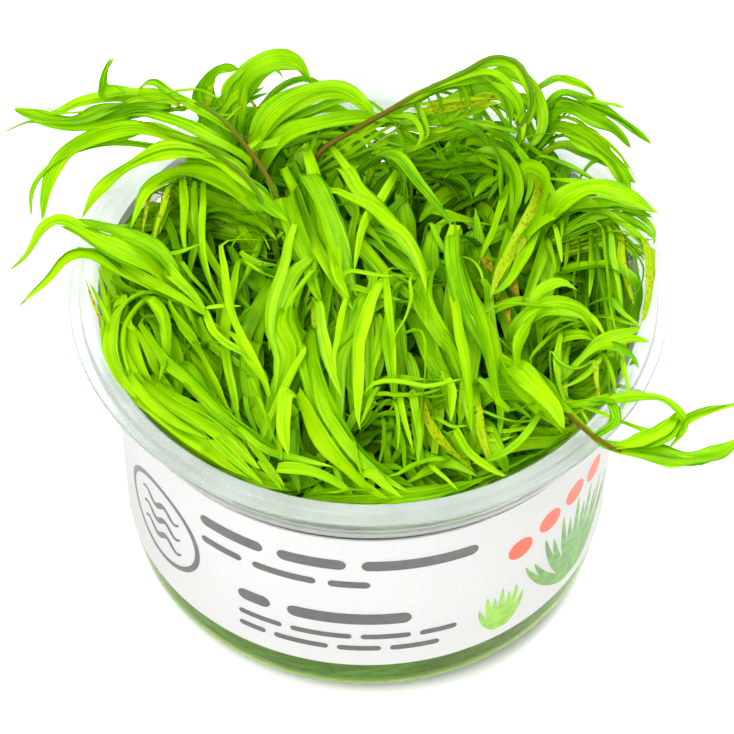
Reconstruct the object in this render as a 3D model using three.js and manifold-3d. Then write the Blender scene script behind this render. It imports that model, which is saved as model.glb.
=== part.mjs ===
// Guppy grass in a clear culture cup: a wide-rimmed plastic cup, its wrap label, a pad of growing gel,
// and the shoots that crowd the cup and arch over its rim. Millimetres, z up, the cup stands on z = 0
// with its axis on z, and the side that faces the viewer is towards minus y.
import * as THREE from "three";
import { mergeVertices } from "three/addons/utils/BufferGeometryUtils.js";
import Module from "manifold-3d";

const wasm = await Module();
wasm.setup();

// Cup
const RIM_RADIUS = 50;
const CUP_HEIGHT = 60;
const MOUTH_RADIUS = 46;
const FLANGE_DEPTH = 1.3;
const BEAD_OUTER = 47.9;
const BEAD_HEIGHT = 0.5;
const COLLAR_RADIUS = 45.2;
const SHOULDER_HEIGHT = 51;
const STEP_HEIGHT = 47.5;
const WALL_RADIUS_AT_FOOT = 40.14;
const WALL_SLOPE = 0.046;
const WALL_THICKNESS = 1.1;
const FOOT_CORNER = 7.2;
const FLOOR_THICKNESS = 1.2;
const ROUND_SEGMENTS = 36;

// Label
const LABEL_BOTTOM = 11.3;
const LABEL_TOP = 46.4;
const LABEL_THICKNESS = 0.35;
const LABEL_GAP_WIDTH = 7;

// Growing gel
const GEL_TOP = 5.5;
const GEL_CREEP = 0.8;

// A narrow gap beside the wall at the back, where no shoot grows
const BACK_GAP = { x: 3.5, y: 36.5, width: 6.6, depth: 4.8, floor: 13 };

// Clear space kept between touching pieces
const GAP = 0.3;

// Shoots
const STEM_RADIUS = 0.75;
const STEM_TIP_RADIUS = 0.45;
const LEAF_KEEL = 0.6;
const LEAF_STATIONS = [0.16, 0.42, 0.74];
const FILLER_COUNT = 30;
const FILLER_LEAVES = 4;
const FILLER_TRIES = 12;
const FILLER_SPREAD = 36.5;
const FILLER_STEM = { low: 47, rise: 7, backRise: 3, lean: 0.07 };
const FILLER_LEAF = { shortest: 17, longest: 28, narrowest: 3.4, widest: 5 };
const STEM_NUDGES = [0, 0.09, -0.09, 0.18, -0.18];
const GOLDEN_ANGLE = Math.PI * (3 - Math.sqrt(5));
const LIFTS = [0, 0.8, -0.8, 1.6, -1.6, 2.4];

const wallRadius = (z) => WALL_RADIUS_AT_FOOT + WALL_SLOPE * z;
const arcPoints = (cx, cz, radius, from, to, steps) =>
  Array.from({ length: steps + 1 }, (_, i) => {
    const a = THREE.MathUtils.degToRad(from + ((to - from) * i) / steps);
    return [cx + radius * Math.cos(a), cz + radius * Math.sin(a)];
  });

// Radius of the free space inside the cup at a height.
function insideRadius(z) {
  if (z < STEP_HEIGHT) return wallRadius(z) - WALL_THICKNESS;
  if (z < SHOULDER_HEIGHT) {
    const t = (z - STEP_HEIGHT) / (SHOULDER_HEIGHT - STEP_HEIGHT);
    const below = wallRadius(STEP_HEIGHT) - WALL_THICKNESS;
    return below + t * (COLLAR_RADIUS - WALL_THICKNESS - below);
  }
  return COLLAR_RADIUS - WALL_THICKNESS;
}

// A closed body of revolution about z from [radius, height] points, first and last on the axis,
// or a closed loop when they are the same point.
function lathe(profile) {
  const points = profile.map(([r, z]) => new THREE.Vector2(r, z));
  return new THREE.LatheGeometry(points, ROUND_SEGMENTS).rotateX(Math.PI / 2);
}

function solidOf(geometry) {
  const bare = geometry.clone();
  bare.deleteAttribute("normal");
  bare.deleteAttribute("uv");
  const merged = mergeVertices(bare, 1e-4);
  return new wasm.Manifold(
    new wasm.Mesh({
      numProp: 3,
      vertProperties: new Float32Array(merged.attributes.position.array),
      triVerts: new Uint32Array(merged.index.array),
    }),
  );
}

function geometryOf(solid) {
  const mesh = solid.getMesh();
  const geometry = new THREE.BufferGeometry();
  geometry.setAttribute("position", new THREE.BufferAttribute(mesh.vertProperties, 3));
  geometry.setIndex(new THREE.BufferAttribute(mesh.triVerts, 1));
  geometry.computeVertexNormals();
  return geometry;
}

// The cup: foot, tapering wall, a step out to the collar, and the flange with its raised inner bead.
function cupGeometry() {
  const flangeTop = CUP_HEIGHT - BEAD_HEIGHT;
  const footRadius = wallRadius(FOOT_CORNER) - FOOT_CORNER;
  const innerCorner = FOOT_CORNER - WALL_THICKNESS;
  const collarInner = COLLAR_RADIUS - WALL_THICKNESS;
  return lathe([
    [0, 0],
    ...arcPoints(footRadius, FOOT_CORNER, FOOT_CORNER, -90, 0, 3),
    [wallRadius(STEP_HEIGHT), STEP_HEIGHT],
    [COLLAR_RADIUS - 0.6, STEP_HEIGHT + 1.8],
    [COLLAR_RADIUS, SHOULDER_HEIGHT],
    [COLLAR_RADIUS, CUP_HEIGHT - FLANGE_DEPTH],
    [RIM_RADIUS - 0.3, CUP_HEIGHT - FLANGE_DEPTH],
    [RIM_RADIUS, CUP_HEIGHT - FLANGE_DEPTH + 0.3],
    [RIM_RADIUS - 0.2, flangeTop],
    [BEAD_OUTER + 0.4, flangeTop],
    [BEAD_OUTER, CUP_HEIGHT],
    [MOUTH_RADIUS + 0.3, CUP_HEIGHT],
    [MOUTH_RADIUS, CUP_HEIGHT - 0.3],
    [collarInner, CUP_HEIGHT - 2.6],
    [collarInner, SHOULDER_HEIGHT],
    [wallRadius(STEP_HEIGHT) - WALL_THICKNESS, STEP_HEIGHT],
    ...arcPoints(footRadius, FOOT_CORNER, innerCorner, 0, -90, 2),
    [0, FLOOR_THICKNESS],
  ]);
}

// The label: a thin sleeve on the wall, open in a narrow gap at the back.
function labelGeometry() {
  const inner = (z) => wallRadius(z) + GAP;
  const sleeve = lathe([
    [inner(LABEL_BOTTOM), LABEL_BOTTOM],
    [inner(LABEL_BOTTOM) + LABEL_THICKNESS, LABEL_BOTTOM],
    [inner(LABEL_TOP) + LABEL_THICKNESS, LABEL_TOP],
    [inner(LABEL_TOP), LABEL_TOP],
    [inner(LABEL_BOTTOM), LABEL_BOTTOM],
  ]);
  const gap = new THREE.BoxGeometry(LABEL_GAP_WIDTH, COLLAR_RADIUS, CUP_HEIGHT);
  gap.translate(0, WALL_RADIUS_AT_FOOT, CUP_HEIGHT / 2);
  return geometryOf(solidOf(sleeve).subtract(solidOf(gap)));
}

// The gel fills the foot of the cup and creeps a little up the wall.
function gelGeometry() {
  const footRadius = wallRadius(FOOT_CORNER) - FOOT_CORNER;
  const corner = FOOT_CORNER - WALL_THICKNESS - GAP;
  const bottom = FLOOR_THICKNESS + GAP;
  const edge = footRadius + corner - 0.2;
  return lathe([
    [0, bottom],
    [footRadius, bottom],
    [footRadius + corner * 0.7, FOOT_CORNER - corner * 0.7 + 0.1],
    [edge, GEL_TOP + GEL_CREEP],
    [edge - 2.5, GEL_TOP],
    [0, GEL_TOP],
  ]);
}

// Shoots that can be told apart from outside. A stem is a list of points from root to tip. A leaf is
// where it leaves its stem (0 at the root, 1 at the tip), its width, and the points that it passes.
const SHOOTS = {
  upper_left: {
    stem: [[-7, 2, 6], [-11, 9, 42], [-16, 16, 66], [-20, 22, 69], [-28, 30, 72], [-37, 33, 70]],
    leaves: [
      [0.97, 4.8, [[-44, 30, 71], [-50, 28, 70], [-55.5, 30.5, 68], [-61, 35, 66]]],
      [0.9, 2.2, [[-45, 30, 68], [-52.5, 29.5, 67], [-58, 31.5, 66], [-62.5, 30, 65]]],
      [0.95, 2.4, [[-44, 32, 72], [-49.5, 31.5, 71], [-52.5, 31.5, 69], [-55.5, 31, 68]]],
      [0.93, 3, [[-42, 32, 73], [-45, 32, 73], [-45.5, 33, 76], [-43.5, 34.5, 79]]],
      [0.82, 2, [[-34.5, 32.5, 73], [-37, 33, 74.5], [-40, 33.5, 72]]],
    ],
  },
  left_spray: {
    stem: [[-13, 3, 6], [-15, 6, 40], [-16, 10, 63], [-20, 17, 67], [-24, 20, 69], [-31, 25, 69]],
    leaves: [
      [0.97, 4.4, [[-40, 26.5, 70], [-47, 25, 69], [-51.5, 23, 67], [-54, 18.5, 65], [-55, 12.5, 62]]],
      [0.9, 2.2, [[-45, 24.5, 68], [-53, 22, 66], [-56.5, 18, 64], [-57, 14, 61]]],
      [0.8, 4.2, [
        [-25.5, 20, 69], [-33.5, 21.5, 70], [-40.5, 19.5, 68], [-45.5, 16.5, 65], [-48.5, 13, 62],
      ]],
      [0.72, 3.8, [[-26.5, 18, 67], [-32.5, 19.5, 66.5], [-37.5, 17.5, 64], [-40, 12.5, 60]]],
    ],
  },
  left_hook: {
    stem: [[-24, -9, 6], [-26, -9, 38], [-28, -6, 61]],
    leaves: [
      [0.95, 4.4, [
        [-36.5, -1, 66], [-44.5, 2.5, 68], [-51.5, 6, 69], [-54, 5, 68], [-55.5, 3.5, 66], [-57, 2.5, 64],
        [-60, 1, 62],
      ]],
      [0.88, 4, [[-35, 1.5, 66], [-41.5, 5, 67], [-47, 6, 68], [-51, 7, 68]]],
      [0.85, 3.2, [
        [-40.5, -0.5, 64], [-45.5, 2.5, 65.5], [-49.5, 3, 64.5], [-53.5, -1, 62.5], [-58, -6, 61],
      ]],
    ],
  },
  front_curl: {
    stem: [[-30, -14, 6], [-35, -13, 36], [-37, -9, 52]],
    leaves: [
      [0.98, 5.5, [[-40, -6, 61], [-41, -13, 59], [-38, -20, 58], [-33, -27, 57], [-25, -34, 56]]],
      [0.85, 4.6, [[-36, -20, 60], [-31, -26, 61], [-25, -30, 61], [-18, -36, 57]]],
      [0.8, 3, [[-30, -20, 62], [-24, -29, 62], [-14, -35, 59], [-6, -38, 57]]],
      [0.9, 2, [[-41, -14, 58], [-43, -11, 63], [-46, -5, 66]]],
    ],
  },
  back_arch: {
    stem: [[-19, 20, 6], [-20, 22, 40], [-21, 23, 61]],
    leaves: [
      [0.95, 4.6, [
        [-24.5, 29, 66], [-28.5, 34, 70], [-28, 34.5, 74], [-25.5, 34.5, 77], [-22.5, 36, 75],
      ]],
      [0.97, 5.4, [
        [-22.5, 31.5, 69], [-21, 34, 75], [-17, 35, 77.5], [-13, 36.5, 75.5], [-10, 35, 72],
      ]],
      [0.9, 4, [[-17.5, 28, 71], [-12, 31.5, 73.5], [-5.5, 32.5, 74], [-1.5, 31, 72], [1, 29, 69]]],
      [0.88, 3.6, [[-15, 26, 69], [-8.5, 28, 70.5], [-1.5, 29.5, 70.5], [5, 30.5, 68.5]]],
    ],
  },
  back_runner: {
    stem: [
      [-11, 18, 6], [-11, 23, 45], [-9, 25, 66], [-3.5, 27, 69.5], [2.5, 28.5, 73], [10, 32, 75.5],
      [16, 33.5, 78], [20, 35, 80], [24, 35, 79], [26.5, 31.5, 77], [27, 29.5, 74], [24.5, 27.5, 70],
    ],
    leaves: [
      [0.68, 3.4, [[17.5, 33, 77], [21, 32.5, 75], [23, 30.5, 73], [23.5, 28, 70]]],
      [0.72, 2, [[20, 33, 78], [23.5, 31, 76], [25, 29, 74], [24, 28, 71]]],
      [0.62, 1.8, [[14.5, 32.5, 75], [16, 31, 73], [16, 30.5, 69]]],
      [0.36, 4, [[3, 23, 68], [8, 18, 66], [14, 12, 62]]],
    ],
  },
  right_spray: {
    stem: [[20, 18, 6], [23, 22, 40], [26, 26, 63], [29, 31, 67]],
    leaves: [
      [0.98, 2.2, [[28, 34, 72], [31, 35, 75], [35.5, 34.5, 74], [38.5, 33.5, 71]]],
      [0.97, 3.4, [[32, 34, 72], [38, 32, 71], [43, 30, 69], [47.5, 28.5, 66]]],
      [0.95, 3, [[32, 32, 71], [38, 30, 70], [41, 29.5, 68.5], [44, 27.5, 66]]],
      [0.93, 1.6, [[32, 31.5, 69], [38.5, 28, 68], [42.5, 25, 66], [44, 21.5, 63]]],
      [0.9, 4.6, [[31, 30, 68], [36.5, 27.5, 67.5], [41, 24, 65.5], [44, 20.5, 62]]],
      [0.85, 3.6, [[31.5, 28.5, 65], [36.5, 26.5, 65], [41.5, 24.5, 64], [45, 23, 62]]],
    ],
  },
  right_bundle: {
    stem: [[25, 4, 6], [27, 6, 40], [28, 9, 61]],
    leaves: [
      [0.97, 4.6, [[32, 13.5, 67], [36.5, 15, 69], [40.5, 14.5, 69], [44.5, 13.5, 68], [47.5, 13, 66]]],
      [0.93, 4, [[32, 11.5, 65], [37, 13, 66.5], [43, 12.5, 66.5], [47.5, 13, 64.5]]],
      [0.85, 3.6, [[34, 4, 61], [40, 3, 63], [44, 0, 62], [44, -6, 58]]],
    ],
  },
  right_loops: {
    stem: [[26, -11, 6], [27, -12, 36], [26, -13, 56]],
    leaves: [
      [0.9, 4, [[25, -11, 63], [29, -8, 65], [35, -8, 64], [38, -10, 60]]],
      [0.85, 3.4, [[32, -12, 62], [37, -12, 62], [39, -17, 59]]],
      [0.8, 3, [[34, -16, 55], [40, -13, 57], [41, -19, 58]]],
    ],
  },
  over_rim: {
    stem: [[22, -18, 6], [27, -19, 36], [30, -20, 58], [32.5, -28, 62], [36.5, -34.5, 64], [41, -38, 64]],
    leaves: [
      [0.98, 4.8, [[45.5, -38.5, 64], [51, -38, 62.5], [56.5, -36, 61.5], [62, -31, 61]]],
      [0.98, 2.6, [[44.5, -36, 65], [48, -34, 65.5], [50.5, -30, 65]]],
      [0.8, 2.2, [
        [37.5, -28.5, 65], [44, -29, 67], [48, -29.5, 67], [51, -32.5, 65], [48.5, -36.5, 63],
      ]],
      [0.95, 2, [
        [44.5, -37, 64.5], [48.5, -35.5, 65], [51, -31.5, 65], [55, -28.5, 64], [61.5, -25, 62],
      ]],
      [0.93, 1.8, [[40, -33, 66], [39, -29, 66], [36, -28, 65]]],
    ],
  },
  middle_back: {
    stem: [[-4, 15, 6], [-7, 16, 36], [-10, 17, 60]],
    leaves: [
      [0.97, 4.6, [[-11, 20, 66], [-8, 12, 68], [-5, 2, 67], [-2, -8, 63]]],
      [0.9, 4, [[-14, 16, 65], [-12, 7, 66], [-7, -3, 62]]],
      [0.92, 3.2, [[-5, 22, 66], [-2, 16, 67], [3, 10, 66], [8, 3, 64], [11, -4, 61]]],
    ],
  },
  middle_fold: {
    stem: [[-12, -14, 6], [-13, -12, 34], [-13, -8, 56]],
    leaves: [
      [0.95, 4, [[-14, -8, 64], [-15, -13, 65], [-13, -18, 64], [-15, -26, 61], [-16, -31, 57]]],
      [0.9, 4.6, [[-10, -14, 63], [-9, -22, 65], [-6, -30, 63], [-1, -36, 60], [8, -40, 57]]],
      [0.85, 3.4, [[-19, -14, 62], [-19, -22, 60], [-14, -35, 57]]],
    ],
  },
  middle_front: {
    stem: [[2, -16, 6], [0, -14, 36], [-1, -12, 56]],
    leaves: [
      [0.95, 4, [[0, -7, 64], [-2, -14, 64], [-2, -22, 61], [-2, -29, 57]]],
      [0.9, 3.4, [[4, -10, 63], [5, -15, 62], [6, -21, 58]]],
      [0.85, 3.2, [[2, -20, 60], [7, -22, 62], [12, -22, 62], [16, -21, 61]]],
      [0.7, 3.6, [[3, -24, 54], [8, -33, 57], [15, -35, 57]]],
    ],
  },
  middle_right: {
    stem: [[13, -2, 6], [14, -1, 36], [15, 1, 60]],
    leaves: [
      [0.96, 4.4, [[14, 6, 67], [14, -1, 68], [16, -9, 66], [20, -16, 62], [22, -22, 57]]],
      [0.92, 4, [[11, 0, 65], [9, -7, 66], [12, -13, 64], [16, -17, 60]]],
      [0.88, 3.4, [[17, -8, 62], [17, -17, 62], [16, -24, 61], [15, -29, 59]]],
      [0.85, 2.4, [[19, -6, 61], [25, -5, 63], [32, -5, 61]]],
    ],
  },
  twisted: {
    stem: [[17, 10, 6], [20, 12, 38], [23, 17, 60]],
    leaves: [
      [0.97, 4.2, [[26, 22, 66], [29, 18, 68], [28, 12, 67], [24, 5, 66], [21, -4, 62]]],
      [0.9, 3.4, [[24, 10, 63], [22, 3, 63], [19, -3, 59]]],
    ],
  },
  front_right: {
    stem: [[11, -26, 6], [13, -27, 34], [14, -27, 52]],
    leaves: [
      [0.95, 4.2, [[18, -29, 59], [21, -34, 59], [23, -36, 56]]],
      [0.9, 3, [[13, -30, 59], [15, -33, 58], [17, -38, 55]]],
      [0.92, 4.4, [[20, -23, 61], [27, -24, 61], [33, -27, 58]]],
    ],
  },
};

// Pseudo-random numbers from 0 to 1, the same in each run.
function dice(seed) {
  let state = seed;
  return () => {
    state = (state * 48271) % 2147483647;
    return state / 2147483647;
  };
}

// A closed body through rings of corner points. Each end is flat, or runs to the point given for it.
function loft(rings, foot, tip) {
  const sides = rings[0].length;
  const positions = rings.flat().flatMap((p) => p.toArray());
  const index = [];
  for (let r = 0; r + 1 < rings.length; r++)
    for (let s = 0; s < sides; s++) {
      const a = r * sides + s;
      const b = r * sides + ((s + 1) % sides);
      index.push(a, b, b + sides, a, b + sides, a + sides);
    }
  const close = (first, point, order) => {
    if (point) positions.push(...point.toArray());
    const apex = positions.length / 3 - 1;
    for (let s = point ? 0 : 1; s < (point ? sides : sides - 1); s++) {
      const corners = [first + s, first + ((s + 1) % sides), point ? apex : first];
      index.push(...(order ? corners : corners.reverse()));
    }
  };
  close(0, foot, false);
  close((rings.length - 1) * sides, tip, true);
  const geometry = new THREE.BufferGeometry();
  geometry.setAttribute("position", new THREE.Float32BufferAttribute(positions, 3));
  geometry.setIndex(index);
  return geometry;
}

const vector = ([x, y, z]) => new THREE.Vector3(x, y, z);

// Draws a point below the rim in, so that a piece of the given half width stays off the cup's wall.
function keptInside(point, halfWidth) {
  const p = point.clone();
  const reach = Math.hypot(p.x, p.y);
  const limit = insideRadius(p.z) - halfWidth - GAP;
  if (p.z < CUP_HEIGHT && reach > limit) {
    p.x *= limit / reach;
    p.y *= limit / reach;
  }
  return p;
}

// The centre line of a stem: straight runs between its points, measured by length from root to tip.
function stemLine(points) {
  const line = new THREE.CurvePath();
  points.slice(1).forEach((p, i) => line.add(new THREE.LineCurve3(points[i], p)));
  return line;
}

// A stem: a thin tapering rod with a ring of corners at each of its points.
function stemGeometry(points, sides, swell = 0) {
  const bend = new THREE.CatmullRomCurve3(points, false, "centripetal");
  const across = new THREE.Vector3(1, 0, 0);
  const rings = points.map((centre, i) => {
    const t = i / (points.length - 1);
    const along = bend.getTangent(t);
    across.addScaledVector(along, -across.dot(along)).normalize();
    const beside = new THREE.Vector3().crossVectors(along, across);
    const radius = THREE.MathUtils.lerp(STEM_RADIUS, STEM_TIP_RADIUS, t) + swell;
    return Array.from({ length: sides }, (_, s) => {
      const a = (2 * Math.PI * s) / sides;
      return centre
        .clone()
        .addScaledVector(across, radius * Math.cos(a))
        .addScaledVector(beside, radius * Math.sin(a));
    });
  });
  return loft(rings);
}

// How wide a leaf is along its length, as a share of its greatest width: a narrow base and a long point.
const leafTaper = (t) => (0.6 + 0.4 * Math.min(1, t / 0.3)) * Math.pow(1 - t ** 3, 0.8);

// A leaf: a thin strap with a keel below its middle, from a point in its stem to a sharp tip.
function leafGeometry(points, width, swell = 0) {
  const curve = new THREE.CatmullRomCurve3(points, false, "centripetal");
  const tip = points[points.length - 1];
  const run = tip.clone().sub(points[0]);
  const across = new THREE.Vector3(-run.y, run.x, 0).normalize();
  const rings = LEAF_STATIONS.map((t) => {
    const along = curve.getTangentAt(t);
    across.addScaledVector(along, -across.dot(along)).normalize();
    const down = new THREE.Vector3().crossVectors(across, along);
    const half = (width * leafTaper(t)) / 2 + swell;
    const outward = new THREE.Vector3(curve.getPointAt(t).x, curve.getPointAt(t).y, 0).normalize();
    const towardsWall = half * Math.abs(across.dot(outward)) + LEAF_KEEL;
    const centre = keptInside(curve.getPointAt(t), towardsWall);
    return [
      centre.clone().addScaledVector(across, half).addScaledVector(down, -swell),
      centre.clone().addScaledVector(across, -half).addScaledVector(down, -swell),
      centre.clone().addScaledVector(down, LEAF_KEEL + swell),
    ];
  });
  return loft(rings, points[0], keptInside(tip, LEAF_KEEL));
}

// Every solid placed so far, with its box, so that the next one is kept clear of them.
const placed = [];
const shoots = new Map();

function place(name, solid) {
  const box = solid.boundingBox();
  const found = placed.find((p) => p.name === name);
  if (found) {
    found.solid = solid;
    found.box = box;
  } else placed.push({ name, solid, box });
}

function isFree(solid, exceptName) {
  const box = solid.boundingBox();
  return placed.every((other) => {
    if (other.name === exceptName) return true;
    for (let k = 0; k < 3; k++)
      if (box.min[k] > other.box.max[k] || box.max[k] < other.box.min[k]) return true;
    return solid.intersect(other.solid).volume() === 0;
  });
}

// Grows one leaf on a shoot. A leaf that would touch a neighbour is lifted or lowered a little, and is
// left off where no height is free.
function addLeaf(name, width, points) {
  const shoot = shoots.get(name);
  for (const lift of LIFTS) {
    const moved = points.map((p, i) => p.clone().setZ(p.z + (i ? lift : 0)));
    const clearance = solidOf(leafGeometry(moved, width, GAP / 2));
    if (!isFree(clearance, name)) continue;
    const grown = shoot.solid.add(solidOf(leafGeometry(moved, width)));
    if (grown.decompose().length !== 1) continue;
    shoot.solid = grown;
    place(name, grown);
    return true;
  }
  return false;
}

const group = new THREE.Group();

function addMesh(name, geometry, color, roughness, extra = {}) {
  const material = new THREE.MeshStandardMaterial({ color, roughness, metalness: 0, ...extra });
  const mesh = new THREE.Mesh(geometry, material);
  mesh.name = name;
  group.add(mesh);
}

const cup = cupGeometry();
const gel = gelGeometry();
addMesh("cup", cup, 0xe4eae6, 0.3, { transparent: true, opacity: 0.35 });
addMesh("label", labelGeometry(), 0xf7f7f5, 0.5);
addMesh("growing_gel", gel, 0xc9d6a4, 0.25);
place("cup", solidOf(cup));
place("growing_gel", solidOf(gel));

const backGap = new THREE.BoxGeometry(BACK_GAP.width, BACK_GAP.depth, CUP_HEIGHT - BACK_GAP.floor);
backGap.translate(BACK_GAP.x, BACK_GAP.y, (CUP_HEIGHT + BACK_GAP.floor) / 2);
place("back_gap", solidOf(backGap));

const rootHeight = GEL_TOP + GAP;

function addStem(name, points, sides) {
  const solid = solidOf(stemGeometry(points, sides));
  shoots.set(name, { solid, line: stemLine(points) });
  place(name, solid);
}

// Stems of the named shoots first, then their leaves, because the named leaves reach furthest.
for (const [key, { stem }] of Object.entries(SHOOTS))
  addStem("shoot_" + key, [vector([stem[0][0], stem[0][1], rootHeight]), ...stem.slice(1).map(vector)], 5);
for (const [key, { leaves }] of Object.entries(SHOOTS))
  for (const [at, width, route] of leaves) {
    const { line } = shoots.get("shoot_" + key);
    addLeaf("shoot_" + key, width, [line.getPointAt(at), ...route.map(vector)]);
  }

// Filler shoots stand on the gel in a sunflower pattern and lean outwards. The back ones are taller.
// All their numbers are drawn first, in one order, so that no shoot hangs on the room its neighbours leave.
const random = dice(7);
const FILLERS = Array.from({ length: FILLER_COUNT }, () => ({
  height: random(),
  lean: random(),
  leaves: Array.from({ length: FILLER_TRIES }, () => ({
    width: random(),
    turn: random(),
    length: random(),
    steep: random(),
  })),
}));

function fillerStem(i, nudge) {
  const spread = FILLER_SPREAD * Math.sqrt((i + 0.5) / FILLER_COUNT);
  const turn = i * GOLDEN_ANGLE + nudge;
  const back = Math.sin(turn) * (spread / FILLER_SPREAD);
  const height = FILLER_STEM.low + FILLER_STEM.rise * FILLERS[i].height + FILLER_STEM.backRise * back;
  const lean = FILLER_STEM.lean * FILLERS[i].lean;
  return [0, 0.5, 1].map((t) => {
    const r = spread * (1 + lean * t);
    const z = rootHeight + (height - rootHeight) * t;
    return keptInside(new THREE.Vector3(r * Math.cos(turn), r * Math.sin(turn), z), STEM_RADIUS);
  });
}

// A filler leaf leaves its stem in a spiral, rises and then bends over.
function fillerLeaf(start, turn, drawn) {
  const { shortest, longest } = FILLER_LEAF;
  const length = shortest + (longest - shortest) * drawn.length;
  const steep = 0.7 + 0.5 * drawn.steep;
  return [0, 0.35, 0.7, 1].map((t) => {
    const out = length * t * (1 - 0.35 * steep);
    const up = length * (steep * t - 0.6 * t * t);
    return start.clone().add(new THREE.Vector3(out * Math.cos(turn), out * Math.sin(turn), up));
  });
}

FILLERS.forEach(({ leaves }, i) => {
  const name = "shoot_filler_" + String(i + 1).padStart(2, "0");
  const stem = STEM_NUDGES.map((nudge) => fillerStem(i, nudge)).find((points) =>
    isFree(solidOf(stemGeometry(points, 4, GAP)), name),
  );
  if (!stem) return;
  addStem(name, stem, 4);
  const { line } = shoots.get(name);
  const { narrowest, widest } = FILLER_LEAF;
  let grown = 0;
  leaves.forEach((drawn, k) => {
    if (grown === FILLER_LEAVES) return;
    const start = line.getPointAt(0.98 - (0.45 * k) / FILLER_TRIES);
    const width = narrowest + (widest - narrowest) * drawn.width;
    if (addLeaf(name, width, fillerLeaf(start, (i + k) * GOLDEN_ANGLE + drawn.turn, drawn))) grown++;
  });
});

for (const [name, shoot] of shoots) addMesh(name, geometryOf(shoot.solid), 0x8fcf14, 0.45);

export default group;
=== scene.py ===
import math

import bpy
import numpy as np
from mathutils import Matrix, Vector


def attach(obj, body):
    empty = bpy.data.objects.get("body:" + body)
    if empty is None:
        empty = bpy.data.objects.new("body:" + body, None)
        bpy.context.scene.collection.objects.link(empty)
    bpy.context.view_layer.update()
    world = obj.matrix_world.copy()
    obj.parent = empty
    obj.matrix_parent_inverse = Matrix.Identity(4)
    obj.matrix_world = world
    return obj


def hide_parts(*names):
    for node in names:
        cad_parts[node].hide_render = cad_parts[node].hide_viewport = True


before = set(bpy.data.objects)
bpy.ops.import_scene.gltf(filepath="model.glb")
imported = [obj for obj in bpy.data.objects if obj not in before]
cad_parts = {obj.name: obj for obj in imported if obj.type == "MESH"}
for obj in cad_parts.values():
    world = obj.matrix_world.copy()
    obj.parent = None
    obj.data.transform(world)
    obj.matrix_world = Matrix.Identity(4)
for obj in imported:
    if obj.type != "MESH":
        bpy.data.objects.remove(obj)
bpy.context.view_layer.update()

# Guppy grass in a clear culture cup. Lengths are millimetres until a mesh is made, which is in metres.
# The cup stands on z = 0 with its axis on z, and its front is towards minus y. Each solid is replaced by
# a piece made here: the cup, the label with its print, the gel, and each shoot's stem with all its leaves.
MM = 0.001

# Cup
RIM_RADIUS = 50
CUP_HEIGHT = 60
MOUTH_RADIUS = 46
FLANGE_DEPTH = 1.3
FLANGE_ROUND = 0.3
FLANGE_DRAFT = 0.2
BEAD_OUTER = 47.9
BEAD_HEIGHT = 0.5
BEAD_SLOPE = 0.4
LIP_DEPTH = 2.6
LIP_RISE = 2.3
COLLAR_RADIUS = 45.2
COLLAR_CLEAR_TO = 54
SHOULDER_HEIGHT = 51
SHOULDER_IN = 0.6
SHOULDER_UP = 1.8
STEP_HEIGHT = 47.5
WALL_RADIUS_AT_FOOT = 40.14
WALL_SLOPE = 0.046
WALL_THICKNESS = 1.1
FOOT_CORNER = 7.2
FLOOR_THICKNESS = 1.2
FOOT_THICKNESS = 0.5
# Painted highlight: the shoulder is thick, milkier plastic in a band that stands in for the light along its
# rounded edge, this far below its top edge and this far up and down from there.
HIGHLIGHT_BAND_DROP = 0.8
HIGHLIGHT_BAND_HALF = 1
# Steps round the cup, in a softened corner, in the foot outside and inside, and in the gel's foot
ROUND_STEPS = 256
CORNER_STEPS = 4
FOOT_STEPS = 12
INNER_FOOT_STEPS = 10
GEL_FOOT_STEPS = 8
# A softened corner takes no more of a side than the side's length over this.
CORNER_LIMIT = 2.2
CUP_EDGE = 0.35
# Corners between faces that turn more than this many degrees stay crisp.
CRISP_ANGLE = 50

# Label and gel
LABEL_BOTTOM = 11.3
LABEL_TOP = 46.4
LABEL_ROWS = 12
LABEL_THICKNESS = 0.35
LABEL_GAP_WIDTH = 7
INK_THICKNESS = 0.03
GAP = 0.3
GEL_TOP = 5.5
GEL_GAP = 0.15
GEL_EDGE_IN = 0.1
GEL_FLAT_RADIUS = 10
GEL_SOFTENING = 0.8
# Where the gel's foot ends on the cup's round foot, in degrees
GEL_FOOT_END = -14
# How the gel creeps up at the wall: points as distance in from its edge and height above its level top
GEL_CREEP = [(0, 0.8), (1.1, 0.3), (2.5, 0)]

# Printing. Places on the label are millimetres round it from the front, and heights.
RING_PLACE = (-40, 28)
RING_RADIUS = 9.6
RING_HALF_LINE = 0.55
RING_POINTS = 72
RIPPLE_HEIGHTS = (24, 28, 32)
RIPPLE = {"half": 5.4, "end": 5.5, "swing": 0.9, "rate": 1.16, "half_line": 0.6, "points": 40, "least": 0.02}
# Rows of bars, each as its height, its bars' thickness, and where each bar starts and ends
BAR_ROWS = [
    (39.5, 2.6, [(-29, -17), (-14.5, -3), (-0.5, 19)]),
    (34.2, 1.7, [(-29, -21), (-19, -8), (-6, 1)]),
    (24.5, 2.9, [(-22, -16), (-13, 8)]),
    (19.5, 1.3, [(-22, -14), (-12.5, -2), (-0.5, 8), (9.5, 16)]),
    (16.2, 1.3, [(-22, -17), (-15.5, -6), (-4.5, 3), (4.5, 13)]),
]
FAN_HEIGHT = 13.6
FAN_FOOT = 1.5
FAN_SPREAD = 13
# Each fan has blades from minus half to half, numbered from the one in its middle.
FAN = {"middle": 42, "half": 6, "spread": FAN_SPREAD, "tall": 20.4, "droop": 7, "width": 2.1}
LOW_FAN = {"middle": 24.5, "half": 3, "spread": 4.4, "tall": 11, "droop": 2, "width": 1.8}
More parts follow.
